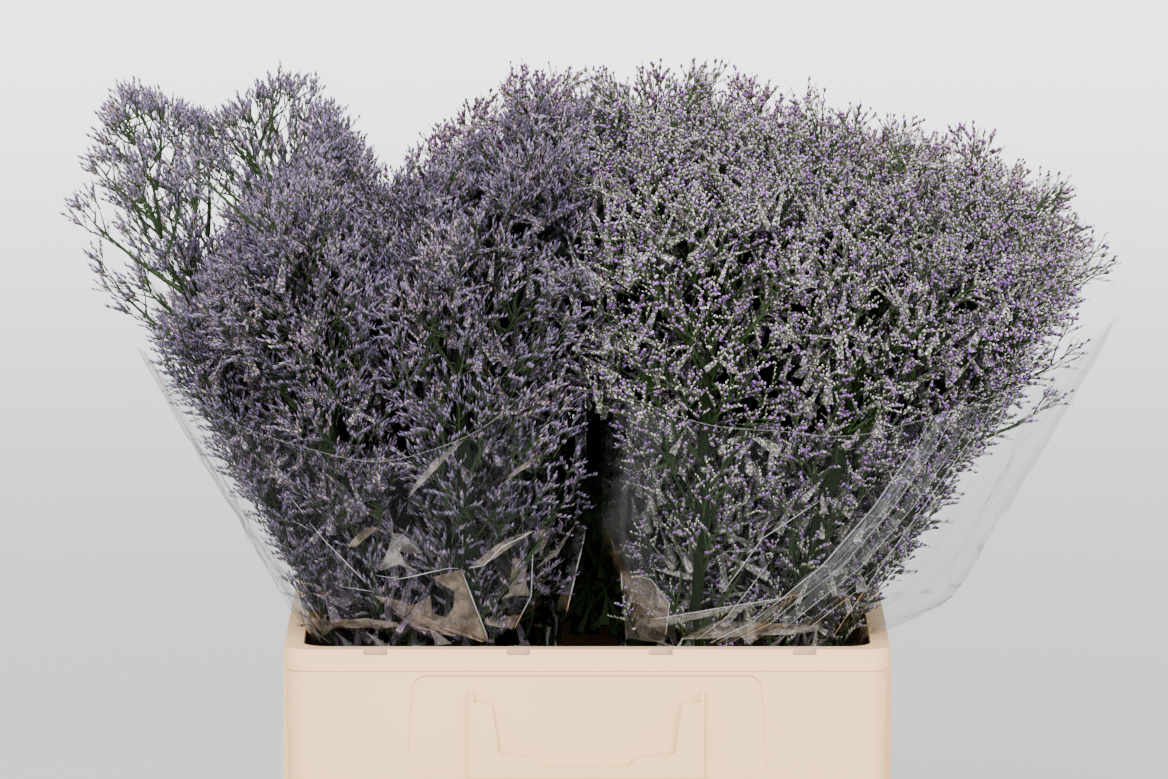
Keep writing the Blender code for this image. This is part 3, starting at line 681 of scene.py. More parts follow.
def between_sleeves(point):
    near = SLEEVE_GAP_AT_RIM[0] * (1 - (point.z - CRATE_HEIGHT) / SLEEVE_GAP_CLOSES)
    return abs(point.x) < near + 0.006


def inside_sleeve(point):
    """Whether a point is well inside one of the sleeves, or over them all."""
    centre, half = sleeve_section(point.z, -1 if point.x < 0 else 1)
    if point.z > CRATE_HEIGHT + 0.16:
        return True
    u = abs(abs(point.x) - centre[0]) / half[0]
    v = abs(abs(point.y) - centre[1]) / half[1]
    return squared_radius(u, v) < 0.86


def nearest_stem(stems, point):
    return min(stems, key=lambda stem: (stem.nearest(point) - point).length)


def spread_tufts(stems):
    """Shares out places inside the bunches, where only leaves and twigs are seen, later painted dark as
    shade.
    """
    rng = random.Random("tufts")
    for i in range(-16, 17):
        for j in range(-12, 13):
            for k in range(-3, 18):
                point = Vector([(n + rng.uniform(-0.4, 0.4)) * TUFT_PITCH for n in (i, j, k)])
                point.z += CRATE_HEIGHT
                least = 0.017 if in_shade(point) else 0.020
                if mass_depth(point) < least or not inside_sleeve(point):
                    continue
                own = [stem for stem in stems if stem.shares_corner(point)]
                nearest_stem(own, point).tufts.append((point, mass_depth(point)))


def spread_middle(stems):
    """Places for leaves, later painted dark as shade, that fill the gap between the sleeves over the
    rim.
    """
    rng = random.Random("middle")
    for k in range(LEAVES_BETWEEN_SLEEVES):
        point = Vector((rng.uniform(-0.017, 0.017), rng.uniform(-0.095, 0.105),
                        CRATE_HEIGHT + 0.016 + 0.110 * rng.random() ** 1.4))
        nearest_stem(stems, point).tufts.append((point, 1.0))


def spread_targets(stems):
    """Shares out evenly spaced places in the flowers' outer shell among the nearest stems."""
    rng = random.Random("targets")
    rows = [range(round(-0.33 / PITCH), round(0.33 / PITCH) + 1),
            range(round(-0.24 / PITCH), round(0.24 / PITCH) + 1),
            range(1, round(0.37 / PITCH) + 1)]
    for i in rows[0]:
        for j in rows[1]:
            for k in rows[2]:
                drift = [rng.uniform(-0.42, 0.42) for axis in range(3)]
                point = Vector(((i + 0.5 * (k % 2) + drift[0]) * PITCH,
                                (j + 0.5 * (k % 2) + drift[1]) * PITCH,
                                CRATE_HEIGHT + (k + drift[2]) * PITCH))
                depth = mass_depth(point)
                if not 0 < depth < SHELL or abs(point.x) > 0.325 or abs(point.y) > 0.222:
                    continue
                if in_shade(point) or between_sleeves(point):
                    continue
                free = point.z - CRATE_HEIGHT > BUNCHES_MEET
                own = [stem for stem in stems if free or stem.shares_corner(point)]
                nearest_stem(own, point).targets.append((point, depth))


def add_part(bm, mesh):
    bm.from_mesh(mesh)
    bpy.data.meshes.remove(mesh)


def grow_sprig(bm, stem, point, sprig, low, hub):
    """One sprig in the shell, with the twig that carries it from its branch."""
    rng = stem.rng
    out = point - stem.nearest(point)
    way = stem.own + out.normalized() * min(1.0, out.length / 0.05) * 0.75
    way += Vector([rng.uniform(-0.28, 0.28) for k in range(3)])
    way.normalize()
    length = SPRIG_LENGTH * rng.uniform(0.75, 1.05)
    root = point - way * length * 0.7
    place_sprig(bm, sprig, root, point + way * length * 0.3, rng)
    fork = hub.lerp(low, rng.uniform(0.0, 0.3))
    bend = fork.lerp(root, 0.5) + (stem.own - way) * 0.006
    add_part(bm, twig(arc_between(fork, bend, root, 2), [0.0009, 0.0007, 0.0005]))


def grow_shell(bm, stem, sprigs):
    """Forked branches from the stem, each with the sprigs of one patch of the outer shell."""
    rng = stem.rng
    left = list(stem.targets)
    while left:
        seed = left[0][0]
        near = [item for item in left if (item[0] - seed).length < BRANCH_SPREAD]
        left = [item for item in left if (item[0] - seed).length >= BRANCH_SPREAD]
        middle = sum((point for point, depth in near), Vector()) / len(near)
        out = middle - stem.nearest(middle)
        drawn, inward, thick, sides = OPEN_FORK if rng.random() < OPEN_FORK_SHARE else CLOSE_FORK
        hub = middle - stem.own * drawn - out * inward
        low = stem.nearest(hub - stem.own * (0.020 + out.length * 0.95))
        bend = low.lerp(hub, 0.55) + out * 0.10
        radii = [thick, thick * 0.95, thick * 0.85, 0.0]
        add_part(bm, twig(arc_between(low, bend, hub, 3), radii, sides))
        for point, depth in near:
            size = "full" if depth < SHELL * 0.75 else "mid"
            grow_sprig(bm, stem, point, rng.choice(sprigs[size]), low, hub)


def drawn_in(point):
    """The point, or the nearest one within the airy branches' outline seen from the front."""
    edge = along_table(PLUME, point.z - CRATE_HEIGHT)
    x = max(edge, point.x)
    y = min(max(point.y, -AIRY_DEPTH), AIRY_DEPTH)
    top = along_table(AIRY_OUTLINE, x) - 0.14 * y
    return Vector((x, y, min(point.z, CRATE_HEIGHT + top, AIRY_TOP)))


def airy_branch(bm, stem, tip, sprigs):
    """A visible branch that forks again and again, all its ends in sprigs."""
    rng = stem.rng
    tip = drawn_in(tip)
    axis = stem.nearest(tip)
    out = tip - axis
    rise = min(0.085, max(0.045, out.length * 1.5))
    start = stem.nearest(axis - stem.own * rise)
    middle = start.lerp(axis, 0.45) + out * 0.62
    path = arc_between(start, middle, tip - (tip - middle).normalized() * 0.012, 6)
    add_part(bm, twig(path, AIRY_RADII, sides=4))
    azimuth = rng.uniform(0, math.tau)
    for t in BRUSHES_AT:
        root = start * (1 - t) ** 2 + middle * 2 * t * (1 - t) + tip * t ** 2
        along = ((middle - start) * (1 - t) + (tip - middle) * t).normalized()
        way = leaned(along, azimuth, math.radians(rng.uniform(28, 46)))
        if way.z < 0.15:
            way = (way + Vector((0, 0, 0.4))).normalized()
        end = root + way * rng.uniform(0.014, 0.024) * (1.25 - 0.7 * t)
        aim = (way * 0.6 + along * 0.6 + Vector((0, 0, 0.15))).normalized()
        foot = drawn_in(end + aim * BRUSH_LENGTH) - aim * BRUSH_LENGTH
        add_twig(bm, root, foot + (foot - root).normalized() * 0.006, 0.0009)
        put(bm, rng.choice(sprigs), aimed(foot, aim) @ Matrix.Scale(rng.uniform(0.80, 1.10), 4))
        azimuth += GOLDEN_ANGLE
    aim = (tip - path[-3]).normalized()
    put(bm, rng.choice(sprigs), aimed(tip - aim * BRUSH_LENGTH * 0.9, aim))


# Airy branches that stick out of the dense bunches, as (x, y, z) of their tips
STRAYS = (
    (0.340, -0.070, 0.543), (0.317, -0.140, 0.497), (0.306, -0.150, 0.466), (0.304, -0.060, 0.588),
    (0.314, 0.040, 0.574), (0.254, 0.020, 0.622), (0.207, -0.060, 0.622), (0.144, -0.040, 0.642),
    (0.108, 0.090, 0.650), (0.075, -0.020, 0.663), (0.035, 0.060, 0.660), (-0.041, 0.030, 0.658),
    (-0.071, 0.110, 0.630), (-0.104, 0.040, 0.607), (0.180, 0.180, 0.590), (0.060, 0.200, 0.600),
    (-0.090, 0.200, 0.590), (-0.180, 0.190, 0.560), (0.290, 0.160, 0.540), (0.050, -0.160, 0.600),
    (-0.060, -0.150, 0.590),
)


def make_flowers(stem, kind, tufts, materials):
    """One whole flower stem, finer than the frame's solid but with its form."""
    rng = stem.rng
    bm = bmesh.new()
    stem.add_core(bm)
    core_size = len(bm.verts)
    for slot in ("leaves", "mass"):
        fully_shaded_size = len(bm.verts)
        for place, depth in stem.tufts:
            if (depth < MASS_TO) == (slot == "mass"):
                way = stem.own + Vector([rng.uniform(-0.5, 0.5) for k in range(3)])
                put(bm, rng.choice(tufts[slot]), aimed(place, way.normalized()))
    tuft_size = len(bm.verts)
    for root, tip in stem.clusters():
        if stem.airy and tip.z > CRATE_HEIGHT + AIRY_FROM:
            airy_branch(bm, stem, drawn_in(tip), kind["brush"])
        elif SHELL * 0.8 < mass_depth(tip) < 0.075:
            place_sprig(bm, rng.choice(kind["inner"]), root.lerp(stem.nearest(root), 0.25), tip, rng)
    grow_shell(bm, stem, kind)
    for tip in stem.strays:
        airy_branch(bm, stem, tip, kind["brush"])
    stem.solid.free()
    name = "flowers_%s_%02d" % (stem.bunch, stem.number)
    piece = new_object(mesh_from(bm, name), name, materials)
    # Painted shade: each point's share of light falls the deeper it lies under the bunch's outer
    # surface.
    painted_light_share = piece.data.attributes.new("open", "FLOAT", "POINT")
    shares = [min(1.0, max(0.0, 1.1 - mass_depth(vert.co) / (SHELL * 1.35)))
              for vert in piece.data.vertices]
    # Painted shade on the core and tufts: the core and what lies between the sleeves get little light,
    # the tufts behind the front right fold somewhat more, the deep tufts none and the mass under the
    # florets most.
    for i in range(tuft_size):
        place = piece.data.vertices[i].co
        if i < core_size or between_sleeves(place):
            shares[i] = HIDDEN_LIT
        elif in_shade(place):
            shares[i] = SHADE_LIT
        else:
            shares[i] *= 0.0 if i < fully_shaded_size else MASS_LIT
    painted_light_share.data.foreach_set("value", shares)
    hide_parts(stem.node)
    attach(piece, "root")


def lowness(shader):
    """How much the plants turn darker and duller near the rim."""
    return (1.0 - shader.along("Z").between(CRATE_HEIGHT, CRATE_HEIGHT + LOW_REACH)) * LOW_SHARE


def plant_material(name, deep, dark, light, low_tint, accent=None, foot=None, foot_to=None):
    """Papery or leafy matter: mottled, with painted shade inside the bunch, and darker and duller low
    down.
    """
    shader = Shader(name)
    painted_light_share = shader.attribute("open")
    fine = shader.noise(560.0, 1.0, 0.5).between(0.38, 0.62)
    broad = shader.noise(42.0, 2.0, 0.6).between(0.34, 0.66)
    blend = shader.mix(fine * 0.6 + broad * 0.4, dark, light)
    if accent:
        patches = shader.noise(24.0, 2.0, 0.5).between(0.54, 0.66) * fine
        blend = shader.mix(patches, blend, accent)
    if foot:
        blend = shader.mix(shader.attribute("tone").between(*foot_to), foot, blend)
    blend = shader.mix(lowness(shader), blend, low_tint)
    # Painted shade: towards the deep colour where a point gets a small share of light.
    shaded = shader.mix(painted_light_share, deep, blend)
    return shader.finish(shader.principled(shaded, 0.62, specular_ior_level=0.12 if foot else 0.0))


def mass_material(name, palette):
    """What shows between the sprigs: florets and leaves painted dim with shade, too far in to be told
    apart.
    """
    shader = Shader(name)
    painted_light_share = shader.attribute("open")
    leafy = shader.noise(150.0, 2.0, 0.6).between(0.36, 0.64)
    deep, leaf, pale_leaf = (colour(*row) for row in palette["calyx"][:3])
    bright_petal, low_petal = (colour(*row) for row in palette["petal"][2:4])
    ground = shader.mix(leafy, leaf, pale_leaf)
    grains = shader.noise(480.0, 1.0, 0.5).between(0.50, 0.58)
    speckled = shader.mix(grains, ground, low_petal)
    bright = shader.noise(630.0, 1.0, 0.5).between(0.57, 0.64)
    speckled = shader.mix(bright, speckled, bright_petal)
    dots = shader.noise(540.0, 1.0, 0.5).between(0.60, 0.66)
    speckled = shader.mix(dots, speckled, colour(*palette["tip"][2]))
    speckled = shader.mix(lowness(shader), speckled, low_petal)
    # Painted shade: towards the deep colour where a point gets a small share of light.
    shaded = shader.mix(painted_light_share, deep, speckled)
    return shader.finish(shader.principled(shaded, 0.7, specular_ior_level=0.0))


# Colours of every part of a plant: deep inside (painted shade), dark, light, low down, in
# patches, and at a floret's foot
PALETTES = {
    "left": {
        "stem": ((0.0016, 0.0028, 0.0012), (0.012, 0.021, 0.009), (0.032, 0.047, 0.022),
                 (0.008, 0.016, 0.006)),
        "calyx": ((0.004, 0.006, 0.004), (0.016, 0.028, 0.011), (0.06, 0.07, 0.044),
                  (0.014, 0.02, 0.01)),
        "petal": ((0.007, 0.005, 0.01), (0.072, 0.047, 0.102), (0.288, 0.19, 0.4),
                  (0.07, 0.058, 0.08), (0.43, 0.28, 0.4), (0.03, 0.042, 0.02)),
        "tip": ((0.012, 0.009, 0.01), (0.19, 0.12, 0.15), (0.5, 0.33, 0.33), (0.14, 0.105, 0.09),
                None, (0.04, 0.056, 0.022)),
    },
    "right": {
        "stem": ((0.0016, 0.0026, 0.0012), (0.012, 0.024, 0.008), (0.027, 0.048, 0.016),
                 (0.009, 0.017, 0.006)),
        "calyx": ((0.004, 0.006, 0.004), (0.022, 0.032, 0.014), (0.09, 0.1, 0.056),
                  (0.02, 0.026, 0.013)),
        "petal": ((0.011, 0.013, 0.008), (0.11, 0.108, 0.088), (0.79, 0.725, 0.675),
                  (0.16, 0.16, 0.13), None, (0.034, 0.048, 0.02)),
        "tip": ((0.01, 0.005, 0.016), (0.13, 0.044, 0.2), (0.34, 0.132, 0.52), (0.085, 0.05, 0.12),
                None, (0.06, 0.034, 0.08)),
    },
    "violet": {
        "stem": ((0.0018, 0.0026, 0.0011), (0.016, 0.028, 0.008), (0.042, 0.064, 0.019),
                 (0.011, 0.019, 0.007)),
        "calyx": ((0.005, 0.006, 0.004), (0.03, 0.032, 0.018), (0.11, 0.1, 0.066),
                  (0.022, 0.024, 0.014)),
        "petal": ((0.012, 0.011, 0.01), (0.1, 0.085, 0.08), (0.7, 0.6, 0.58), (0.14, 0.122, 0.118),
                  None, (0.04, 0.044, 0.022)),
        "tip": ((0.01, 0.005, 0.016), (0.125, 0.038, 0.175), (0.31, 0.115, 0.4),
                (0.085, 0.044, 0.12), None, (0.07, 0.034, 0.08)),
    },
}


def flower_kind(stem):
    """The kind of florets that a stem carries, and the name of its palette."""
    if stem.bunch == "front_right":
        return "cupped", "right"
    if stem.bunch == "back_right" or stem.bunch == "back_left" and stem.leans_in():
        return "violet", "violet"
    return "slender", "left"


def flower_materials(name, kind, palette):
    """A bunch's five materials, in the order of the slots."""
    made = []
    for part in ("stem", "calyx", "petal", "tip"):
        rows = [row and colour(*row) for row in palette[part]]
        opened = part == "petal" and kind != "slender"
        made.append(plant_material(("petal_open_" if opened else part + "_") + name, *rows,
                                   foot_to=(0.35, 1.0) if opened else (0.15, 0.85)))
    return made + [mass_material("mass_" + name, palette)]


def make_all_flowers():
    sets = sprig_sets()
    stems = [Stem(name, number, signs) for name, signs in BUNCHES.items() for number in range(1, 12)]
    spread_targets(stems)
    spread_tufts(stems)
    spread_middle(stems)
    for x, y, z in STRAYS:
        tip = Vector((x, y, z))
        nearest_stem([stem for stem in stems if stem.shares_corner(tip)], tip).strays.append(tip)
    rng = random.Random("tuft shapes")
    tufts = {"leaves": [make_tuft(rng, STEM) for k in range(5)],
             "mass": [make_tuft(rng, MASS) for k in range(7)]}
    materials = {}
    for stem in stems:
        kind, tone = flower_kind(stem)
        name = stem.bunch + "_" + tone
        if name not in materials:
            materials[name] = flower_materials(name, kind, PALETTES[tone])
        make_flowers(stem, sets[kind], tufts, materials[name])
    rows = list(tufts.values()) + [row for kind in sets.values() for row in kind.values()]
    for mesh in (shape for row in rows for shape in row):
        bpy.data.meshes.remove(mesh)


# Film sleeves

def sleeve_section(z, side):
    """Centre and half sizes of a sleeve's section at a height, as if it stood at +x, +y."""
    over = z - CRATE_HEIGHT
    centre, half = [], []
    inside = (CRATE_LENGTH / 2 - RIM_WIDTH, CRATE_DEPTH / 2 - RIM_WIDTH)
    for i in range(2):
        far_at_rim = inside[i] - SLEEVE_RIM_CLEARANCE
        near_at_rim = SLEEVE_GAP_AT_RIM[i]
        if over <= 0:
            share = max(0.0, (z - CRATE_FLOOR) / (CRATE_HEIGHT - CRATE_FLOOR))
            foot_near = SLEEVE_FOOT_CENTRE[i] - SLEEVE_FOOT_HALF[i]
            foot_far = SLEEVE_FOOT_CENTRE[i] + SLEEVE_FOOT_HALF[i]
            near = foot_near + (near_at_rim - foot_near) * share
            far = foot_far + (far_at_rim - foot_far) * share
        else:
            closed = min(1.0, over / SLEEVE_GAP_CLOSES)
            near = near_at_rim + (SLEEVE_GAP - near_at_rim) * closed
            far = far_at_rim + SLEEVE_FLARE[side][i] * over * (1 - SLEEVE_FLARE_EASE * over)
        centre.append((near + far) / 2)
        half.append((far - near) / 2)
    return centre, half


def sleeve_point(angle, z, signs, out=0.0):
    """A point of a sleeve's wall, moved out by a distance, and kept clear of its neighbours."""
    centre, half = sleeve_section(z, signs[0])
    c, s = math.cos(angle), math.sin(angle)
    spread = (abs(c) ** SLEEVE_POWER + abs(s) ** SLEEVE_POWER) ** (-1 / SLEEVE_POWER)
    x = centre[0] + half[0] * c * spread + out * c
    y = centre[1] + half[1] * s * spread + out * s
    if z < CRATE_HEIGHT + 0.004:
        x = min(x, CRATE_LENGTH / 2 - RIM_WIDTH - 0.0006)
        y = min(y, CRATE_DEPTH / 2 - RIM_WIDTH - 0.0006)
    return Vector((signs[0] * max(x, 0.0006), signs[1] * max(y, 0.0006), z))


def sleeve_top(angle, name):
    """The sleeve's upper edge: high at its side seams, cut lower between them."""
    row = name.split("_")[0]
    low, high = SLEEVE_DIP[row], SLEEVE_PEAK[row]
    if row == "back":
        rise = abs(math.cos(angle)) ** 1.6
        return CRATE_HEIGHT + low + (high - low) * rise
    inner = max(0.0, math.cos(angle - math.radians(150))) ** 7
    outer = max(0.0, math.cos(angle - math.radians(14))) ** 4
    behind = max(0.0, math.cos(angle - math.radians(215))) ** 2
    if name == "front_right":
        inner, low, high = inner * 0.35, low + 0.016, high + 0.022
    return CRATE_HEIGHT + low + (high - low) * max(inner, outer, behind * 0.9)


def film_place(u, v, name, out=0.0):
    """A point of the film: u goes once round, v from foot to edge with a fifth up to the rim."""
    angle = math.tau * u
    wave = 0.0025 * math.sin(angle * 7 + len(name)) * math.sin(angle * 3)
    top = sleeve_top(angle, name) + wave
    if v < FILM_LOW_SHARE:
        z = SLEEVE_FOOT + (FILM_LOW - SLEEVE_FOOT) * v / FILM_LOW_SHARE
    else:
        z = FILM_LOW + (top - FILM_LOW) * (v - FILM_LOW_SHARE) / (1 - FILM_LOW_SHARE)
    point = sleeve_point(angle, z, BUNCHES[name], out)
    if name == "front_right":
        over = max(0.0, z - CRATE_HEIGHT)
        share = min(1.0, over / BELLY_FROM) ** 0.7 * max(0.0, 1 - over / BELLY_TOP)
        point.x += BELLY * share * max(0.0, math.cos(angle)) ** 3
    return point


def film_sheet(name, rng):
    """The sleeve itself: crumpled flat facets near the rim and long soft folds above."""
    bm = bmesh.new()
    bmesh.ops.create_grid(bm, x_segments=FILM_AROUND, y_segments=FILM_UP, size=0.5)
    folds = [(rng.random(), rng.uniform(-0.5, 0.5), rng.uniform(0.4, 1.0), rng.uniform(0.006, 0.014))
             for k in range(SOFT_FOLDS)]
    seam_sides = {}
    for vert in bm.verts:
        u, v = vert.co.x + 0.5, vert.co.y + 0.5
        key = round(v, 4)
        inner = 0.001 < u < 0.999
        near_rim = max(0.0, 1 - abs(v - 0.34) / 0.30)
        if 0.001 < v < 0.999:
            u += rng.uniform(-CELL_DRIFT, CELL_DRIFT) / FILM_AROUND if inner else 0
            v += rng.uniform(-CELL_DRIFT, CELL_DRIFT) / FILM_UP
        out = rng.uniform(-1, 1) * (0.0010 + 0.0028 * near_rim)
        if not inner:
            v, out = seam_sides.setdefault(key, (v, out))
        vert.co = Vector((u, v, out))
    bmesh.ops.triangulate(bm, faces=bm.faces, quad_method="ALTERNATE")
    # Painted reflection: random facets near the rim get a tan mark, the crate's reflection painted into
    # the film.
    tan = bm.faces.layers.float.new("tan")
    for face in bm.faces:
        low = max(0.0, 1 - abs(face.calc_center_median().y - 0.28) / 0.14)
        if rng.random() < low * 0.20:
            face[tan] = rng.uniform(0.2, 0.7)
    bmesh.ops.subdivide_edges(bm, edges=bm.edges, cuts=2, use_grid_fill=True)
    for vert in bm.verts:
        u, v, out = vert.co
        for at, slant, strength, wide in folds:
            off = abs((u - at - slant * (v - 0.3) * 0.2 + 0.5) % 1.0 - 0.5)
            out -= FOLD_DEPTH * strength * max(0.0, 1 - off / wide) * min(1.0, v * 1.6)
        vert.co = film_place(u, v, name, out)
    bmesh.ops.remove_doubles(bm, verts=bm.verts, dist=1e-5)
    bmesh.ops.recalc_face_normals(bm, faces=bm.faces)
    for face in bm.faces:
        face.smooth = True
    return bm


# Where each fold lies on a sleeve: millimetres along the crate from its middle, and over the
# rim. Patches are folded film painted with a tan reflection of the crate, creases are bright lines.
PATCHES = {
    "front_left": (
        ((-153, 69), (-148, 69), (-142, 78), (-131, 84), (-142, 82), (-150, 74)),
        ((-133, 52), (-128, 66), (-124, 78), (-120, 79), (-115, 75), (-105, 65), (-115, 64),
         (-120, 66), (-117, 58), (-105, 50), (-121, 57), (-128, 54)),
        ((-76, 54), (-66, 56), (-55, 68), (-34, 78), (-46, 76), (-58, 70), (-65, 63)),
        ((-99, 48), (-81, 53), (-78, 45), (-64, 2), (-99, 11), (-111, 14), (-130, 29),
         (-138, 36), (-111, 29), (-105, 32), (-101, 36), (-99, 23), (-91, 20), (-86, 26),
         (-85, 38), (-92, 42)),
        ((-50, 36), (-48, 60), (-40, 58), (-39, 41), (-36, 33), (-48, 33), (-55, 32)),
        ((-180, 16), (-143, 19), (-122, 16), (-120, 13), (-163, 11), (-170, 4), (-176, 11)),
        ((-66, 18), (-42, 20), (-48, 11), (-65, 14)),
        ((-32, 78), (-22, 78), (-30, 60)),
        ((-33, 52), (-19, 60), (-6, 80), (-19, 66)),
        ((-33, 45), (-14, 55), (-26, 52)),
        ((-114, 103), (-105, 119), (-78, 142), (-82, 141), (-99, 126), (-111, 111)),
        ((-54, 111), (-33, 128), (-26, 131), (-40, 125), (-50, 117)),
        ((-59, 92), (-42, 107), (-48, 103)),
    ),
    "front_right": (
        ((21, 49), (41, 45), (53, 29), (50, 1), (25, 1)),
        ((34, 16), (99, 29), (137, 36), (99, 25), (40, 11)),
        ((60, 4), (92, 12), (128, 8), (150, 14), (118, 16), (84, 17)),
    ),
}
CREASES = {
    "front_left": (
        ((-4, 192), (-4, 180), (-5, 130), (-6, 95), (-8, 77), (-13, 60), (-22, 38), (-21, 32),
         (-25, 3)),
        ((-178, 86), (-168, 73), (-142, 44)), ((-189, 102), (-181, 91)), ((-188, 86), (-177, 80)),
        ((-158, 41), (-137, 38)), ((-135, 49), (-120, 47), (-89, 54), (-82, 54)),
        ((-114, 14), (-63, 2)), ((-81, 54), (-63, 2)), ((-76, 54), (-66, 56), (-55, 68), (-34, 78)),
        ((-34, 38), (-31, 41), (-25, 44)), ((-33, 78), (-35, 60), (-36, 33), (-50, 4)),
        ((-182, 32), (-164, 4)), ((-192, 12), (-226, 70), (-262, 150)), ((-204, 44), (-276, 166)),
        ((-186, 20), (-236, 128)), ((-216, 62), (-228, 96)),
    ),
    "front_right": (
        ((12, 80), (22, 49), (23, 20), (24, 2)),
        ((21, 49), (41, 45), (53, 29), (50, 1)), ((86, 36), (112, 75), (150, 102)),
        ((34, 16), (99, 29), (137, 36)), ((299, 247), (273, 194), (244, 141), (189, 55), (157, 3)),
        ((210, 102), (213, 98)), ((257, 128), (262, 124)), ((205, 61), (206, 56)), ((88, 34), (91, 32)),
        ((118, 60), (90, 20), (70, 4)), ((176, 40), (140, 10)),
        ((190, 13), (222, 30), (262, 88), (300, 168), (312, 198)), ((200, 30), (270, 130), (296, 186)),
        ((214, 44), (232, 92)), ((246, 90), (262, 150), (268, 180)),
    ),
}
BAND = ((282, 257), (257, 227), (241, 187), (218, 141), (189, 95), (157, 55), (112, 16), (86, 2))
# Across the band: place in millimetres, width, gleam, and how far off the film it lies
BAND_STREAKS = ((0, 0.014, 0.09, 0.0004), (-7, 0.0009, 0.75, 0.0010), (-3, 0.0030, 0.10, 0.0016),
                (1, 0.0007, 0.30, 0.0022), (6, 0.0008, 0.55, 0.0010), (15, 0.0080, 0.07, 0.0004),
                (19, 0.0007, 0.45, 0.0010), (30, 0.0006, 0.30, 0.0010))
# Broad faint folds: their path, width and gleam
SOFT_STREAKS = (
    (((206, 16), (240, 60), (276, 128), (304, 186)), 0.007, 0.12),
    (((196, 20), (224, 66), (246, 112)), 0.008, 0.10),
    (((226, 22), (236, 26), (262, 66)), 0.006, 0.14),
    (((262, 96), (284, 168), (296, 196)), 0.006, 0.12),
)


class SleeveMarks:
    """Draws folds on a sleeve, as film doubled over just outside it."""

    def __init__(self, bm, name):
        self.bm = bm
        self.tree = BVHTree.FromBMesh(bm)
        self.signs = BUNCHES[name]

    def spot(self, wall, along, over, lift=0.0005):
        """The film's outermost point at a place on the sleeve's long or end wall."""
        z = CRATE_HEIGHT + over / 1000
        if wall == "long":
            start, way = Vector((along / 1000, self.signs[1], z)), Vector((0, -self.signs[1], 0))
        else:
            start, way = Vector((self.signs[0], along / 1000, z)), Vector((-self.signs[0], 0, 0))
        place = self.tree.ray_cast(start, way)[0]
        return place - way * lift if place else None

    def add(self, flat, tan, gleam):
        """Adds a small mesh whose faces all carry the same marks."""
        for name, value in (("tan", tan), ("gleam", gleam)):
            layer = flat.faces.layers.float.new(name)
            for face in flat.faces:
                face[layer] = value
        add_part(self.bm, mesh_from(flat, "fold"))

    def ribbon(self, pairs, gleam):
        """A strip of film through pairs of points."""
        flat = bmesh.new()
        rungs = [[flat.verts.new(point) for point in pair] for pair in pairs]
        for (a, b), (c, d) in zip(rungs, rungs[1:]):
            flat.faces.new((a, b, d, c)).smooth = True
        self.add(flat, 0.0, gleam)

    # A patch of folded film painted with a tan reflection of the crate.
    def patch(self, wall, outline, tan):
        flat = bmesh.new()
        face = flat.faces.new([flat.verts.new((along, over, 0)) for along, over in outline])
        bmesh.ops.triangulate(flat, faces=[face], ngon_method="EAR_CLIP")
        bmesh.ops.subdivide_edges(flat, edges=flat.edges, cuts=3, use_grid_fill=True)
        spots = [self.spot(wall, vert.co.x, vert.co.y) for vert in flat.verts]
        if None in spots:
            flat.free()
            return
        for vert, place in zip(flat.verts, spots):
            vert.co = place
        self.add(flat, tan, 0.0)

    def crease(self, wall, path, width, gleam, lift=0.0010):
        rows = []
        for (a, z0), (b, z1) in zip(path, path[1:]):
            steps = max(1, round(math.hypot(b - a, z1 - z0) / 5))
            rows += [self.spot(wall, a + (b - a) * k / steps, z0 + (z1 - z0) * k / steps, lift)
                     for k in range(steps)]
        rows = [place for place in rows + [self.spot(wall, *path[-1], lift)] if place]
        if len(rows) < 2:
            return
        pairs = []
        for i, place in enumerate(rows):
            along = rows[min(i + 1, len(rows) - 1)] - rows[max(i - 1, 0)]
            facing = self.tree.find_nearest(place)[1]
            share = 1 - 0.7 * abs(2 * i / (len(rows) - 1) - 1) ** 3
            side = along.cross(facing).normalized() * width * share / 2
            pairs.append((place - side, place + side))
        self.ribbon(pairs, gleam)


def random_folds(marks, wall, low, high, rng):
    """Sharp patches, painted with a tan reflection of the crate, and creases near the rim, where the
    film is bent over the crate's edge.
    """
    for k in range(SHARP_FOLDS):
        along, over = rng.uniform(low, high), rng.uniform(6, 46)
        lean = rng.uniform(-1.2, 1.2)
        corners = [(along, over)]
        for reach in (rng.uniform(12, 34), rng.uniform(4, 18)):
            corners.append((along + reach * math.cos(lean), max(2, over + reach * math.sin(lean))))
            lean += rng.uniform(0.25, 0.7)
        marks.patch(wall, corners, rng.uniform(0.4, 0.9))
    for k in range(SHARP_FOLDS):
        along, over = rng.uniform(low, high), rng.uniform(4, 90)
        run, rise = rng.uniform(-32, 32), rng.uniform(6, 60)
        marks.crease(wall, ((along, over), (along + run, over + rise)), 0.0006, rng.uniform(0.3, 0.8))


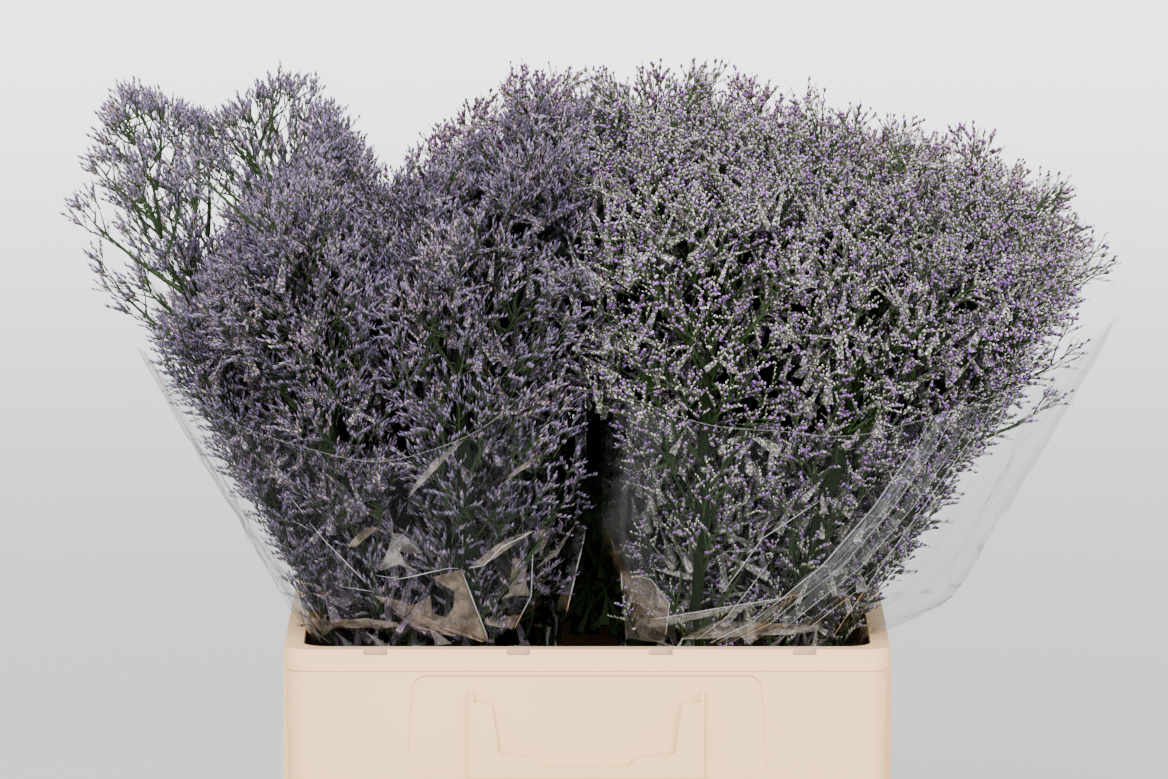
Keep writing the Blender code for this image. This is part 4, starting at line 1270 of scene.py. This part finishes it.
def make_sleeve(name, material):
    """A cone of thin clear film round one bunch, with its folds, seams and cut edge."""
    rng = random.Random("film " + name)
    bm = film_sheet(name, rng)
    marks = SleeveMarks(bm, name)
    for outline in PATCHES.get(name, ()):
        marks.patch("long", outline, rng.uniform(0.75, 1.0))
    for path in CREASES.get(name, ()):
        marks.crease("long", path, CREASE_WIDTH, rng.uniform(0.6, 1.0))
    if name == "front_right":
        for shift, width, gleam, lift in BAND_STREAKS:
            marks.crease("long", [(along + shift, over) for along, over in BAND], width, gleam, lift)
        for path, width, gleam in SOFT_STREAKS:
            marks.crease("long", path, width, gleam, 0.0004)
    sign = marks.signs[0]
    if name not in PATCHES:
        random_folds(marks, "long", *sorted((sign * 30, sign * 175)), rng)
    random_folds(marks, "end", *sorted((marks.signs[1] * 15, marks.signs[1] * 125)), rng)
    for first, second, gleam in FOLDED_CORNER if name == "front_right" else SEAM:
        rows = [0.205 + 0.79 * k / 40 for k in range(41)]
        marks.ribbon([[film_place(degrees / 360, v, name, out) for degrees, out in (second, first)]
                      for v in rows], gleam)
    places = [(k % EDGE_STEPS) / EDGE_STEPS for k in range(EDGE_STEPS + 1)]
    marks.ribbon([[film_place(u, v, name, EDGE_LIFT) for v in EDGE_ROWS] for u in places], EDGE_GLEAM)
    bmesh.ops.remove_doubles(bm, verts=bm.verts, dist=1e-5)
    piece = new_object(mesh_from(bm, "film"), "film_" + name, [material])
    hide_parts("film_sleeve_" + name)
    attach(piece, "root")


def film_material():
    """Clear film that mirrors more at a glancing angle, with painted tan reflections of the crate on
    its marked patches.
    """
    shader = Shader("clear_film")
    facing = shader.add("ShaderNodeLayerWeight", sockets={"Blend": 0.5}, output="Facing")
    mark = shader.attribute("tan")
    gleam = shader.attribute("gleam")
    torn = shader.noise(95.0, 3.0, 0.65).between(0.42, 0.60)
    tan = mark * (shader.noise(34.0, 3.0, 0.7).between(0.38, 0.58) * 0.6 + 0.4) * (torn * 0.55 + 0.45)
    bump = shader.bump(shader.noise(60.0, 3.0, 0.6), 0.003, 0.07)
    clear = shader.add("ShaderNodeBsdfTransparent", sockets={"Color": colour(0.935, 0.94, 0.94)})
    # Where marked tan, the gloss turns into a matt tan colour: a painted reflection of the crate.
    tint = shader.mix(mark, colour(0.74, 0.75, 0.76), colour(0.185, 0.140, 0.102))
    metallic = 1.0 - (mark * 4.0).clamped()
    gloss = shader.principled(tint, 0.12 + mark * 0.5, metallic=metallic, normal=bump)
    factor = (0.012 + facing ** 4.0 * 0.55 + tan * 0.52 + gleam * 0.6).clamped()
    surface = shader.add("ShaderNodeMixShader", sockets={0: factor, 1: clear, 2: gloss})
    return shader.finish(surface)


# Crate

def apply_modifiers(thing):
    graph = bpy.context.evaluated_depsgraph_get()
    mesh = bpy.data.meshes.new_from_object(thing.evaluated_get(graph))
    thing.modifiers.clear()
    thing.data = mesh


def boolean(thing, tools, operation):
    """Joins or cuts with every object of a collection, then removes them."""
    step = thing.modifiers.new(operation.lower(), "BOOLEAN")
    step.operation = operation
    step.solver = "EXACT"
    step.operand_type = "COLLECTION"
    step.collection = tools
    apply_modifiers(thing)
    for tool in list(tools.objects):
        bpy.data.objects.remove(tool)
    bpy.data.collections.remove(tools)


def new_collection(name):
    collection = bpy.data.collections.new(name)
    bpy.context.scene.collection.children.link(collection)
    return collection


def solid(bm, name, collection):
    thing = bpy.data.objects.new(name, mesh_from(bm, name))
    collection.objects.link(thing)
    return thing


def block(collection, name, low, high):
    bm = bmesh.new()
    bmesh.ops.create_cube(bm, size=1.0)
    size = [high[i] - low[i] for i in range(3)]
    middle = [(high[i] + low[i]) / 2 for i in range(3)]
    bmesh.ops.scale(bm, vec=size, verts=bm.verts)
    bmesh.ops.translate(bm, vec=middle, verts=bm.verts)
    return solid(bm, name, collection)


def plate(collection, name, outline, front, back):
    """A flat outline of (x, z) points, standing upright between two y planes."""
    bm = bmesh.new()
    corners = [bm.verts.new((x, front, z)) for x, z in outline]
    face, moved = extrude(bm, bm.faces.new(corners))
    bmesh.ops.translate(bm, vec=(0, back - front, 0), verts=moved)
    bmesh.ops.recalc_face_normals(bm, faces=bm.faces)
    return solid(bm, name, collection)


def arc(centre_x, centre_z, radius, start, end, steps):
    points = []
    for i in range(steps + 1):
        angle = math.radians(start + (end - start) * i / steps)
        points.append((centre_x + radius * math.cos(angle), centre_z + radius * math.sin(angle)))
    return points


def rounded_block(collection, name, levels, corner):
    """A rounded rectangle carried up through levels of (length, depth, height)."""
    length, depth, height = levels[0]
    bm = bmesh.new()
    bmesh.ops.create_grid(bm, x_segments=1, y_segments=1, size=0.5)
    bmesh.ops.scale(bm, vec=(length, depth, 1), verts=bm.verts)
    bmesh.ops.translate(bm, vec=(0, 0, height), verts=bm.verts)
    bmesh.ops.bevel(bm, geom=bm.verts[:], offset=corner, offset_type="OFFSET", segments=14,
                    profile=0.5, affect="VERTICES", material=-1)
    face = max(bm.faces, key=lambda item: item.calc_area())
    for next_length, next_depth, next_height in levels[1:]:
        face, moved = extrude(bm, face)
        bmesh.ops.scale(bm, vec=(next_length / length, next_depth / depth, 1), verts=moved)
        bmesh.ops.translate(bm, vec=(0, 0, next_height - height), verts=moved)
        length, depth, height = next_length, next_depth, next_height
    bmesh.ops.recalc_face_normals(bm, faces=bm.faces)
    return solid(bm, name, collection)


def wall_y(height):
    """The front wall's outer face at a height."""
    drafted = FOOT_INSET * (1 - height / (CRATE_HEIGHT - RIM_HEIGHT))
    return -(CRATE_DEPTH / 2 - RIM_STEP - drafted)


def crate_cutters(cutters):
    """The inside under its wide lip, the front panel, its lower recess and the notches."""
    foot = 2 * (FOOT_INSET + CRATE_WALL)
    wall = 2 * (RIM_STEP + CRATE_WALL)
    lip = 2 * RIM_WIDTH
    length, depth, height = CRATE_LENGTH, CRATE_DEPTH, CRATE_HEIGHT
    under_rim = height - RIM_HEIGHT
    inner = [
        (length - foot, depth - foot, CRATE_FLOOR),
        (length - wall, depth - wall, under_rim - LIP_HEIGHT),
        (length - lip, depth - lip, under_rim),
        (length - lip, depth - lip, height + CUTTER_REACH),
    ]
    rounded_block(cutters, "inside", inner, CORNER_RADIUS)
    top, half, corner = PANEL_TOP, PANEL_WIDTH / 2, PANEL_CORNER
    ledge_bottom = top - PANEL_HEIGHT
    ledge_top = ledge_bottom + LEDGE_HEIGHT
    outline = [(-half - PANEL_FLARE, ledge_top), (half + PANEL_FLARE, ledge_top)]
    outline += arc(half - corner, top - corner, corner, 0, 90, 12)
    outline += arc(-half + corner, top - corner, corner, 90, 180, 12)
    back = wall_y(top) + PANEL_RECESS
    plate(cutters, "panel", outline, back - CUTTER_REACH, back)
    bottom = ledge_bottom - LOWER_RECESS_HEIGHT
    corner = LOWER_CORNER
    lower = arc(half - corner, ledge_bottom - corner, corner, 0, 90, 8)
    lower += arc(-half + corner, ledge_bottom - corner, corner, 90, 180, 8)
    lower += [(-half, bottom), (half, bottom)]
    lower_back = wall_y(bottom) + LOWER_RECESS
    plate(cutters, "lower_recess", lower, lower_back - CUTTER_REACH, lower_back)
    wide, tall = NOTCH_SIZE
    for place in NOTCH_PLACES:
        for side in (-1, 1):
            edge = side * CRATE_DEPTH / 2
            block(cutters, "notch", (place - wide / 2, edge - 0.004, CRATE_HEIGHT - tall),
                  (place + wide / 2, edge + 0.004, CRATE_HEIGHT + CUTTER_REACH))


def holder_outline():
    """The U-shaped plate that holds a label, seen from the front, as (x, z) points."""
    bottom = PANEL_TOP - PANEL_HEIGHT + 0.001
    top = PANEL_TOP - PANEL_HEIGHT + LEDGE_HEIGHT + HOLDER_HEIGHT
    half = HOLDER_WIDTH / 2
    window = HOLDER_WINDOW[0] / 2
    sill = top - HOLDER_WINDOW[1]
    soft = HOLDER_ROUNDING
    right = [(half, bottom), (half, top), (window + 0.004, top)]
    right += arc(window + soft, top - soft, soft, 90, 170, 6)
    right += arc(window - 0.007, sill + soft, soft, 0, -80, 6)
    right += [(window - HOLDER_SILL[0] + 0.004, sill - soft),
              (window - HOLDER_SILL[0], sill - HOLDER_SILL[1])]
    left = [(-x, z) for x, z in reversed(right)]
    return right + left


def add_label_holder(holder):
    panel_y = wall_y(PANEL_TOP) + PANEL_RECESS
    face_y = panel_y - HOLDER_GAP - HOLDER_PLATE
    root_y = panel_y + HOLDER_ROOT
    half = HOLDER_WIDTH / 2
    outline = holder_outline()
    plate(holder, "holder", outline, face_y, face_y + HOLDER_PLATE)
    top = max(z for x, z in outline)
    bottom = min(z for x, z in outline)
    for side in (-1, 1):
        low_x, high_x = sorted((side * half, side * (half + GUIDE_WIDTH)))
        block(holder, "guide", (low_x, face_y - GUIDE_PROUD, bottom),
              (high_x, root_y, top + GUIDE_RISE))
    block(holder, "shelf", (-half - GUIDE_WIDTH / 2, face_y + 0.0003, bottom - 0.0001),
          (half + GUIDE_WIDTH / 2, root_y, bottom + SHELF_THICKNESS))


def make_crate(material):
    """The moulded crate with rounded edges, in place of the frame's plainer one."""
    foot = 2 * FOOT_INSET
    step = 2 * RIM_STEP
    length, depth, height = CRATE_LENGTH, CRATE_DEPTH, CRATE_HEIGHT
    under_rim = height - RIM_HEIGHT
    outer = [
        (length - foot, depth - foot, 0.0),
        (length - step, depth - step, under_rim),
        (length, depth, under_rim + RIM_STEP),
        (length, depth, height),
    ]
    crate = rounded_block(bpy.context.scene.collection, "crate_body", outer, CORNER_RADIUS)
    grips = new_collection("grips")
    for side in (-1, 1):
        edge = side * (length / 2 - RIM_STEP)
        low_x, high_x = sorted((edge - side * 0.002, edge + side * (GRIP_OUT - RIM_STEP)))
        block(grips, "grip", (low_x, -GRIP_LENGTH / 2, under_rim - GRIP_HEIGHT),
              (high_x, GRIP_LENGTH / 2, under_rim + 0.003))
    boolean(crate, grips, "UNION")
    cutters = new_collection("cutters")
    crate_cutters(cutters)
    boolean(crate, cutters, "DIFFERENCE")
    holder = new_collection("holder")
    add_label_holder(holder)
    boolean(crate, holder, "UNION")
    soft = crate.modifiers.new("soft_edges", "BEVEL")
    soft.width = EDGE_ROUNDING
    soft.segments = 3
    soft.limit_method = "ANGLE"
    soft.angle_limit = math.radians(SOFTENED_ANGLE)
    soft.use_clamp_overlap = True
    soft.harden_normals = True
    apply_modifiers(crate)
    crate.data.materials.clear()
    crate.data.materials.append(material)
    for face in crate.data.polygons:
        face.use_smooth = True
    flat_walls = crate.modifiers.new("flat_walls", "WEIGHTED_NORMAL")
    flat_walls.weight = 100
    apply_modifiers(crate)
    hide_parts("crate")
    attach(crate, "root")


def crate_material():
    """Cream moulded plastic: satin, faintly mottled, scuffed at the corners, a few stains, with painted
    shade in the rim's notches and inside.
    """
    shader = Shader("crate_plastic")
    base = shader.mix(shader.noise(7.0, 3.0, 0.6).between(0.3, 0.7),
                      colour(0.78, 0.49, 0.235), colour(0.81, 0.515, 0.25))
    scratches = shader.noise(45.0, 6.0, 0.75).between(0.56, 0.70)
    x, y, height = (shader.along(axis) for axis in "XYZ")
    left = 1.0 - x.between(*SCUFFED_END)
    scuffed = shader.mix(scratches * left * 0.55, base, colour(0.36, 0.28, 0.28))
    specks = shader.noise(260.0, 2.0, 0.5).between(0.745, 0.77)
    stains_and_painted_shade = shader.mix(specks * 0.5, scuffed, colour(0.42, 0.30, 0.17))
    front = 1.0 - y.between(-CRATE_DEPTH / 2 + 0.004, -CRATE_DEPTH / 2 + 0.006)
    spacing = NOTCH_PLACES[1] - NOTCH_PLACES[0]
    wrapped = ((x - NOTCH_PLACES[1]) / spacing + 20.5).fraction()
    beside = (wrapped - 0.5).magnitude() * spacing
    # Painted shade in the rim's notches on the front: a darker tan where the notches cut down.
    notch_shade = (1.0 - beside.between(0.0070, 0.0078)) * height.between(0.2960, 0.2966) * front
    stains_and_painted_shade = shader.mix(notch_shade * 0.9, stains_and_painted_shade, colour(0.36, 0.255, 0.155))
    # Painted shade inside the crate: its inner walls and floor below the rim turn dark brown, as if
    # shaded by the flowers.
    across, deep = x.magnitude(), y.magnitude()
    inside = (1.0 - across.between(0.1835, 0.1845)) * (1.0 - deep.between(0.1335, 0.1345))
    inside = inside * (1.0 - height.between(*INSIDE_SHADE_TO))
    stains_and_painted_shade = shader.mix(inside * 0.96, stains_and_painted_shade, colour(0.046, 0.025, 0.016))
    ribbed = across.between(0.126, 0.128) * (1.0 - across.between(0.182, 0.184))
    ribbed = ribbed * height.between(0.2195, 0.2205) * (1.0 - height.between(0.2830, 0.2835))
    groove = (x / RIB_PITCH + 40.0).fraction() - 0.5
    ribs = (1.0 - groove.magnitude().between(0.02, 0.09)) * ribbed
    roughness = shader.noise(60.0, 3.0, 0.6) * 0.16 + 0.36
    texture = shader.noise(1400.0, 2.0, 0.5) - ribs * 2.0 * front
    bump = shader.bump(texture, 0.0002, 0.25)
    return shader.finish(shader.principled(stains_and_painted_shade, roughness, normal=bump))


def rubber_material():
    """Tan rubber with a faint mottle."""
    shader = Shader("band_rubber")
    tone = shader.mix(shader.noise(300.0), colour(0.42, 0.28, 0.13), colour(0.60, 0.43, 0.24))
    return shader.finish(shader.principled(tone, 0.7))


# Stage, lights and camera
FLOOR_RADIUS = 60.0
# Painted light on the floor: the distances over which it turns lighter, and its glow far away
FLOOR_FADE = (1.0, 7.2)
FLOOR_GLOW = (1.95, 1.96, 2.02)
SKY = (1.0, 1.0, 1.02, 1.0)
SKY_STRENGTH = 1.30
# Soft lights: place, size and power
LIGHTS = (
    ("key", (-1.0, -3.4, 2.8), (2.4, 1.6), 380),
    ("fill", (2.4, -2.8, 1.5), (1.6, 1.6), 130),
    ("top", (0.2, 0.2, 3.2), (2.4, 2.0), 150),
)
LIT_PLACE = (0, 0, 0.40)
CAMERA_PLACE = (-0.002, -6.087, 1.301)
CAMERA_TARGET = (-0.002, -0.145, 0.4686)


def make_stage():
    """A wide pale floor, painted lighter and glowing further away, that is the background from every
    side.
    """
    shader = Shader("studio_paper")
    away = shader.add("ShaderNodeVectorMath", {"operation": "LENGTH"}, {0: shader.place()},
                      output="Value")
    rise = away.between(*FLOOR_FADE)
    tone = shader.mix(rise, colour(0.375, 0.375, 0.378), colour(0.93, 0.94, 0.96))
    # The floor gives off light far away, though it is no lamp: painted light.
    glow = shader.mix(rise, colour(0, 0, 0), colour(*FLOOR_GLOW))
    paper = shader.finish(shader.principled(tone, 0.9, emission_color=glow, emission_strength=1.0))
    bm = bmesh.new()
    bmesh.ops.create_circle(bm, cap_ends=True, segments=128, radius=FLOOR_RADIUS)
    bmesh.ops.recalc_face_normals(bm, faces=bm.faces)
    new_object(mesh_from(bm, "floor"), "floor", [paper])


def placed(data, place, target):
    """A new light or camera that looks from a place at a target."""
    thing = bpy.data.objects.new(data.name, data)
    thing.location = place
    thing.rotation_euler = (Vector(target) - Vector(place)).to_track_quat("-Z", "Y").to_euler()
    bpy.context.scene.collection.objects.link(thing)
    return thing


def make_lights():
    world = bpy.data.worlds.new("studio")
    world.use_nodes = True
    world.node_tree.nodes["Background"].inputs["Color"].default_value = SKY
    world.node_tree.nodes["Background"].inputs["Strength"].default_value = SKY_STRENGTH
    bpy.context.scene.world = world
    for name, place, size, power in LIGHTS:
        data = bpy.data.lights.new(name, "AREA")
        data.shape = "RECTANGLE"
        data.size, data.size_y = size
        data.energy = power
        placed(data, place, LIT_PLACE)


def make_camera():
    data = bpy.data.cameras.new("camera")
    data.lens = 289
    data.sensor_width = 36
    data.clip_end = 60
    bpy.context.scene.camera = placed(data, CAMERA_PLACE, CAMERA_TARGET)


make_camera()
make_stage()
make_lights()
make_crate(crate_material())
film = film_material()
for bunch in BUNCHES:
    make_sleeve(bunch, film)
    frame["nodes"]["band_" + bunch].data.materials.clear()
    frame["nodes"]["band_" + bunch].data.materials.append(rubber_material())
make_all_flowers()
